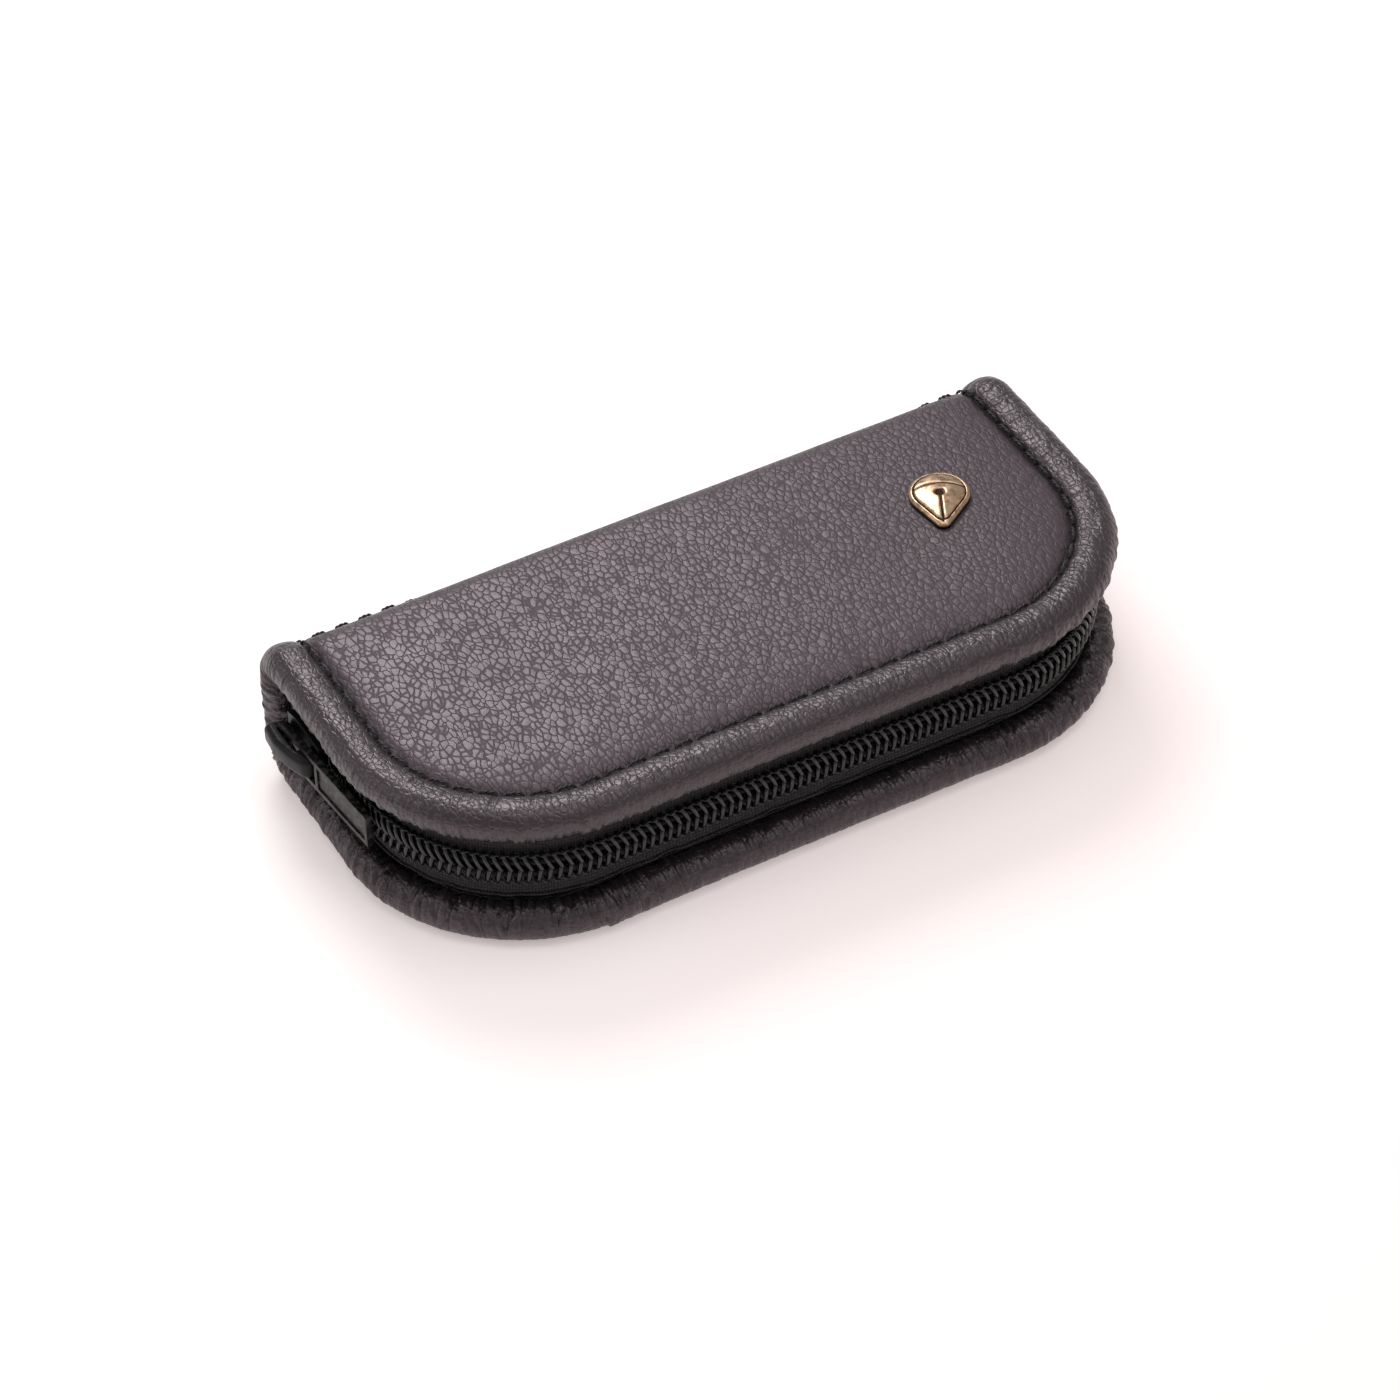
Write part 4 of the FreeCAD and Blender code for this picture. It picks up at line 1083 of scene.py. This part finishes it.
def thread():
    """Bonded sewing thread."""
    finish = Finish("thread", "twisted black thread", Specular_IOR_Level=0.5, Sheen_Weight=0.08)
    fibre = finish.use("drift", Patches_per_metre=7000.0)["Value"]
    gloss = finish.use("drift", Patches_per_metre=500.0, Low=0.36, High=0.55)["Value"]
    finish.feed("Base Color", finish.tint(fibre, (0.007, 0.007, 0.008), (0.020, 0.019, 0.021)))
    finish.feed("Roughness", gloss)
    finish.feed("Normal", finish.bump(fibre, 0.03 * MM, 0.7))


def soft_filler(slot, name, first, second):
    """Cord, foam and board, which only show where something is taken apart."""
    finish = Finish(slot, name, Roughness=0.85, Specular_IOR_Level=0.2)
    fibre = finish.use("drift", Patches_per_metre=3000.0)["Value"]
    finish.feed("Base Color", finish.tint(fibre, first, second))
    finish.feed("Normal", finish.bump(fibre, 0.05 * MM, 0.6))


def metal(slot, name, bright, dull, low, high, scratches=2600.0):
    """Bare or plated metal with fine rubbing marks."""
    finish = Finish(slot, name, Metallic=1.0)
    rub = finish.use("drift", Patches_per_metre=scratches)["Value"]
    tone = finish.use("drift", Patches_per_metre=500.0)["Value"]
    finish.feed("Base Color", finish.tint(tone, dull, bright))
    finish.feed("Roughness", add(finish.tree, "MapRange", {"Value": rub, 3: low, 4: high}).outputs[0])
    finish.feed("Normal", finish.bump(rub, 0.008 * MM, 0.5))
    return finish


def antique_brass():
    """Brass, stained, and dark where the badge is engraved and down its side wall."""
    finish = metal("antique_brass", "antique brass", (0.80, 0.54, 0.35), (0.40, 0.28, 0.19), 0.24, 0.42,
                   900.0)
    darkening_mask = add(finish.tree, "Attribute", attribute_name="darkening_mask").outputs["Fac"]
    stain = finish.use("drift", Patches_per_metre=700.0)["Value"]
    base = finish.shader.inputs["Base Color"].links[0].from_socket
    dark = sums(finish.tree, "MAXIMUM", remap(finish.tree, darkening_mask, 0.15, 0.75),
                sums(finish.tree, "MULTIPLY", remap(finish.tree, stain, 0.35, 0.95), 0.6))
    finish.feed("Base Color", finish.deepen(dark, base, (0.035, 0.022, 0.014)))


def black_enamel():
    """Sprayed black of the slider and its pull, rubbed at the edges."""
    finish = Finish("black_enamel", "black enamel", Specular_IOR_Level=0.2, Coat_Weight=0.03,
                    Coat_Roughness=0.08)
    worn = finish.use("wear", Patches_per_metre=900.0, Reach=0.56)["Worn"]
    gloss = finish.use("drift", Patches_per_metre=400.0, Low=0.34, High=0.48)["Value"]
    peel = finish.use("drift", Patches_per_metre=1500.0)["Value"]
    finish.feed("Base Color", finish.tint(sums(finish.tree, "MULTIPLY", worn, 0.5),
                                          (0.005, 0.005, 0.005), (0.09, 0.08, 0.075)))
    finish.feed("Roughness", gloss)
    finish.feed("Normal", finish.bump(peel, 0.01 * MM, 0.4))


def finishes():
    """Every finish, by the record's slot."""
    pebbled_leather()
    rolled_leather()
    brushed_lining()
    woven("zip_tape", "woven zip tape", 1500.0, (0.060, 0.054, 0.058), (0.001, 0.001, 0.001), 0.16 * MM)
    woven("elastic", "ribbed elastic", 1500.0, (0.026, 0.025, 0.027), (0.006, 0.006, 0.007), 0.12 * MM)
    nylon()
    thread()
    soft_filler("coil_cord", "coil filler cord", (0.010, 0.010, 0.011), (0.022, 0.021, 0.022))
    soft_filler("filler_cord", "edge filler cord", (0.55, 0.52, 0.47), (0.72, 0.69, 0.63))
    soft_filler("foam", "grey foam", (0.10, 0.10, 0.10), (0.19, 0.19, 0.19))
    soft_filler("board", "stiffening board", (0.28, 0.22, 0.15), (0.38, 0.31, 0.22))
    antique_brass()
    metal("steel_plate", "nickel steel", (0.60, 0.59, 0.57), (0.48, 0.47, 0.45), 0.25, 0.38)
    metal("black_metal", "blackened metal", (0.06, 0.058, 0.06), (0.035, 0.034, 0.036), 0.28, 0.42)
    black_enamel()


def flat_coordinates(piece, place):
    """Flat coordinates in metres for a woven piece."""
    while piece.data.uv_layers:
        piece.data.uv_layers.remove(piece.data.uv_layers[0])
    layer = piece.data.uv_layers.new(name="laid_flat")
    points = points_of(piece)
    found = [place(*point) for point in points]
    for loop in piece.data.loops:
        layer.data[loop.index].uv = found[loop.vertex_index]


# ---------------------------------------------------------------- the case
finishes()
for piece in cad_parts.values():
    slot = piece.data.materials[0].name.split(".")[0] if piece.data.materials else ""
    if slot in MATERIALS:
        piece.data.materials[0] = MATERIALS[slot]

for lid in (False, True):
    padded_cover(lid)
    edge_roll(lid)
    panel_stitching(lid)
    lining(lid)
    tape = zip_tape(lid)
    flat_coordinates(tape, lambda x, y, z: (rim_place(x, y)[1], z))
    coil(lid)
metal_end("slider_body", "slider_plates", "slider", "black_enamel", 0.35 * MM)
metal_end("pull_tab", "pull_fork", "pull", "black_enamel", 0.28 * MM)
slider_crown()
metal_end("upper_top_stop", "top_stop_upper", "lid", "black_metal", 0.3 * MM)
metal_end("lower_top_stop", "top_stop_lower", "base", "black_metal", 0.3 * MM)
metal_end("bottom_stop", "bottom_stop_clamp", "base", "black_metal", 0.4 * MM)
badge()
for label in ("pen_loop_left", "pen_loop_right"):
    flat_coordinates(pen_loop(label), lambda x, y, z: (x, y))
loop_stitches()


# ---------------------------------------------------------------- floor, light and camera
def floor():
    """Plain pale floor with painted light: its colour turns pinker towards the front right, where less light
    falls, and it glows faintly pink to lift the shadows cast on it.
    """
    bpy.ops.mesh.primitive_plane_add(size=6, location=(0, 0, -0.25 * MM))
    ground = named("floor")
    paper = bpy.data.materials.new("pale paper")
    paper.use_nodes = True
    tree = paper.node_tree
    place = tree.nodes.new("ShaderNodeTexCoord").outputs["Object"]
    parts = add(tree, "SeparateXYZ", {0: place}).outputs
    # Painted light: the floor colour runs from near white at the back left to pinker at the front right,
    # standing in for the light's falloff.
    run = sums(tree, "SUBTRACT", parts[0], sums(tree, "MULTIPLY", parts[1], 0.8))
    painted_light_falloff = add(tree, "MapRange", {"Value": run, 1: -0.15, 2: 0.25}).outputs[0]
    mix = add(tree, "Mix", {0: painted_light_falloff, 6: (0.85, 0.83, 0.825, 1), 7: (0.85, 0.73, 0.725, 1)}, data_type="RGBA")
    shader = tree.nodes["Principled BSDF"]
    tree.links.new(mix.outputs[2], shader.inputs["Base Color"])
    # Painted light: the floor glows faintly pink, which lifts the shadows cast on it and lights the case's
    # underside a little.
    for label, value in (("Emission Color", (1.0, 0.875, 0.86, 1)), ("Emission Strength", 0.36),
                         ("Roughness", 0.9), ("Specular IOR Level", 0.1)):
        shader.inputs[label].default_value = value
    ground.data.materials.append(paper)


def softbox(name, place, target, size, power):
    """Square light turned to a point."""
    lamp = bpy.data.lights.new(name, "AREA")
    lamp.shape, lamp.size, lamp.energy = "SQUARE", size, power
    box = bpy.data.objects.new(name, lamp)
    box.location = place
    box.rotation_euler = (Vector(target) - Vector(place)).to_track_quat("-Z", "Y").to_euler()
    bpy.context.collection.objects.link(box)


def studio():
    """Bright room light and five soft boxes."""
    world = bpy.context.scene.world or bpy.data.worlds.new("room")
    bpy.context.scene.world = world
    world.use_nodes = True
    room = world.node_tree.nodes["Background"].inputs
    room["Color"].default_value, room["Strength"].default_value = (1.0, 0.98, 0.985, 1), 0.43
    softbox("sheen", (0.08, 0.52, 0.56), (-0.04, 0, 0), 0.34, 2.2)
    softbox("overhead", (0.12, -0.08, 1.2), (0, 0, 0), 0.8, 3.2)
    softbox("glow", (0.02, 0.25, 0.29), (-0.05, 0, 0.03), 0.14, 0.15)
    softbox("left", (-0.7, 0.25, 0.5), (-0.02, 0, 0), 0.4, 0.7)
    softbox("front", (0.35, -0.85, 1.15), (0, 0, 0), 0.9, 1.8)
    bpy.context.scene.view_settings.view_transform = "Standard"


def camera():
    """Three-quarter view from above, from the front left."""
    around, down, roll = math.radians(27.357), math.radians(43.045), math.radians(-2.041)
    level = Vector((math.cos(around), -math.sin(around), 0))
    ahead = Vector((math.sin(around) * math.cos(down), math.cos(around) * math.cos(down), -math.sin(down)))
    above = level.cross(ahead)
    across = level * math.cos(roll) + above * math.sin(roll)
    upward = above * math.cos(roll) - level * math.sin(roll)
    from_eye = Vector((4.87, -5.21, 995.2)) * MM
    place = -(across * from_eye.x + upward * from_eye.y + ahead * from_eye.z)
    lens = bpy.data.cameras.new("camera")
    lens.sensor_width, lens.lens = 36, 139.8
    lens.clip_start, lens.clip_end = 0.05, 20
    eye = bpy.data.objects.new("camera", lens)
    turn = Matrix((across, upward, -ahead)).transposed()
    eye.matrix_world = Matrix.Translation(place) @ turn.to_4x4()
    bpy.context.collection.objects.link(eye)
    bpy.context.scene.camera = eye


floor()
studio()
camera()
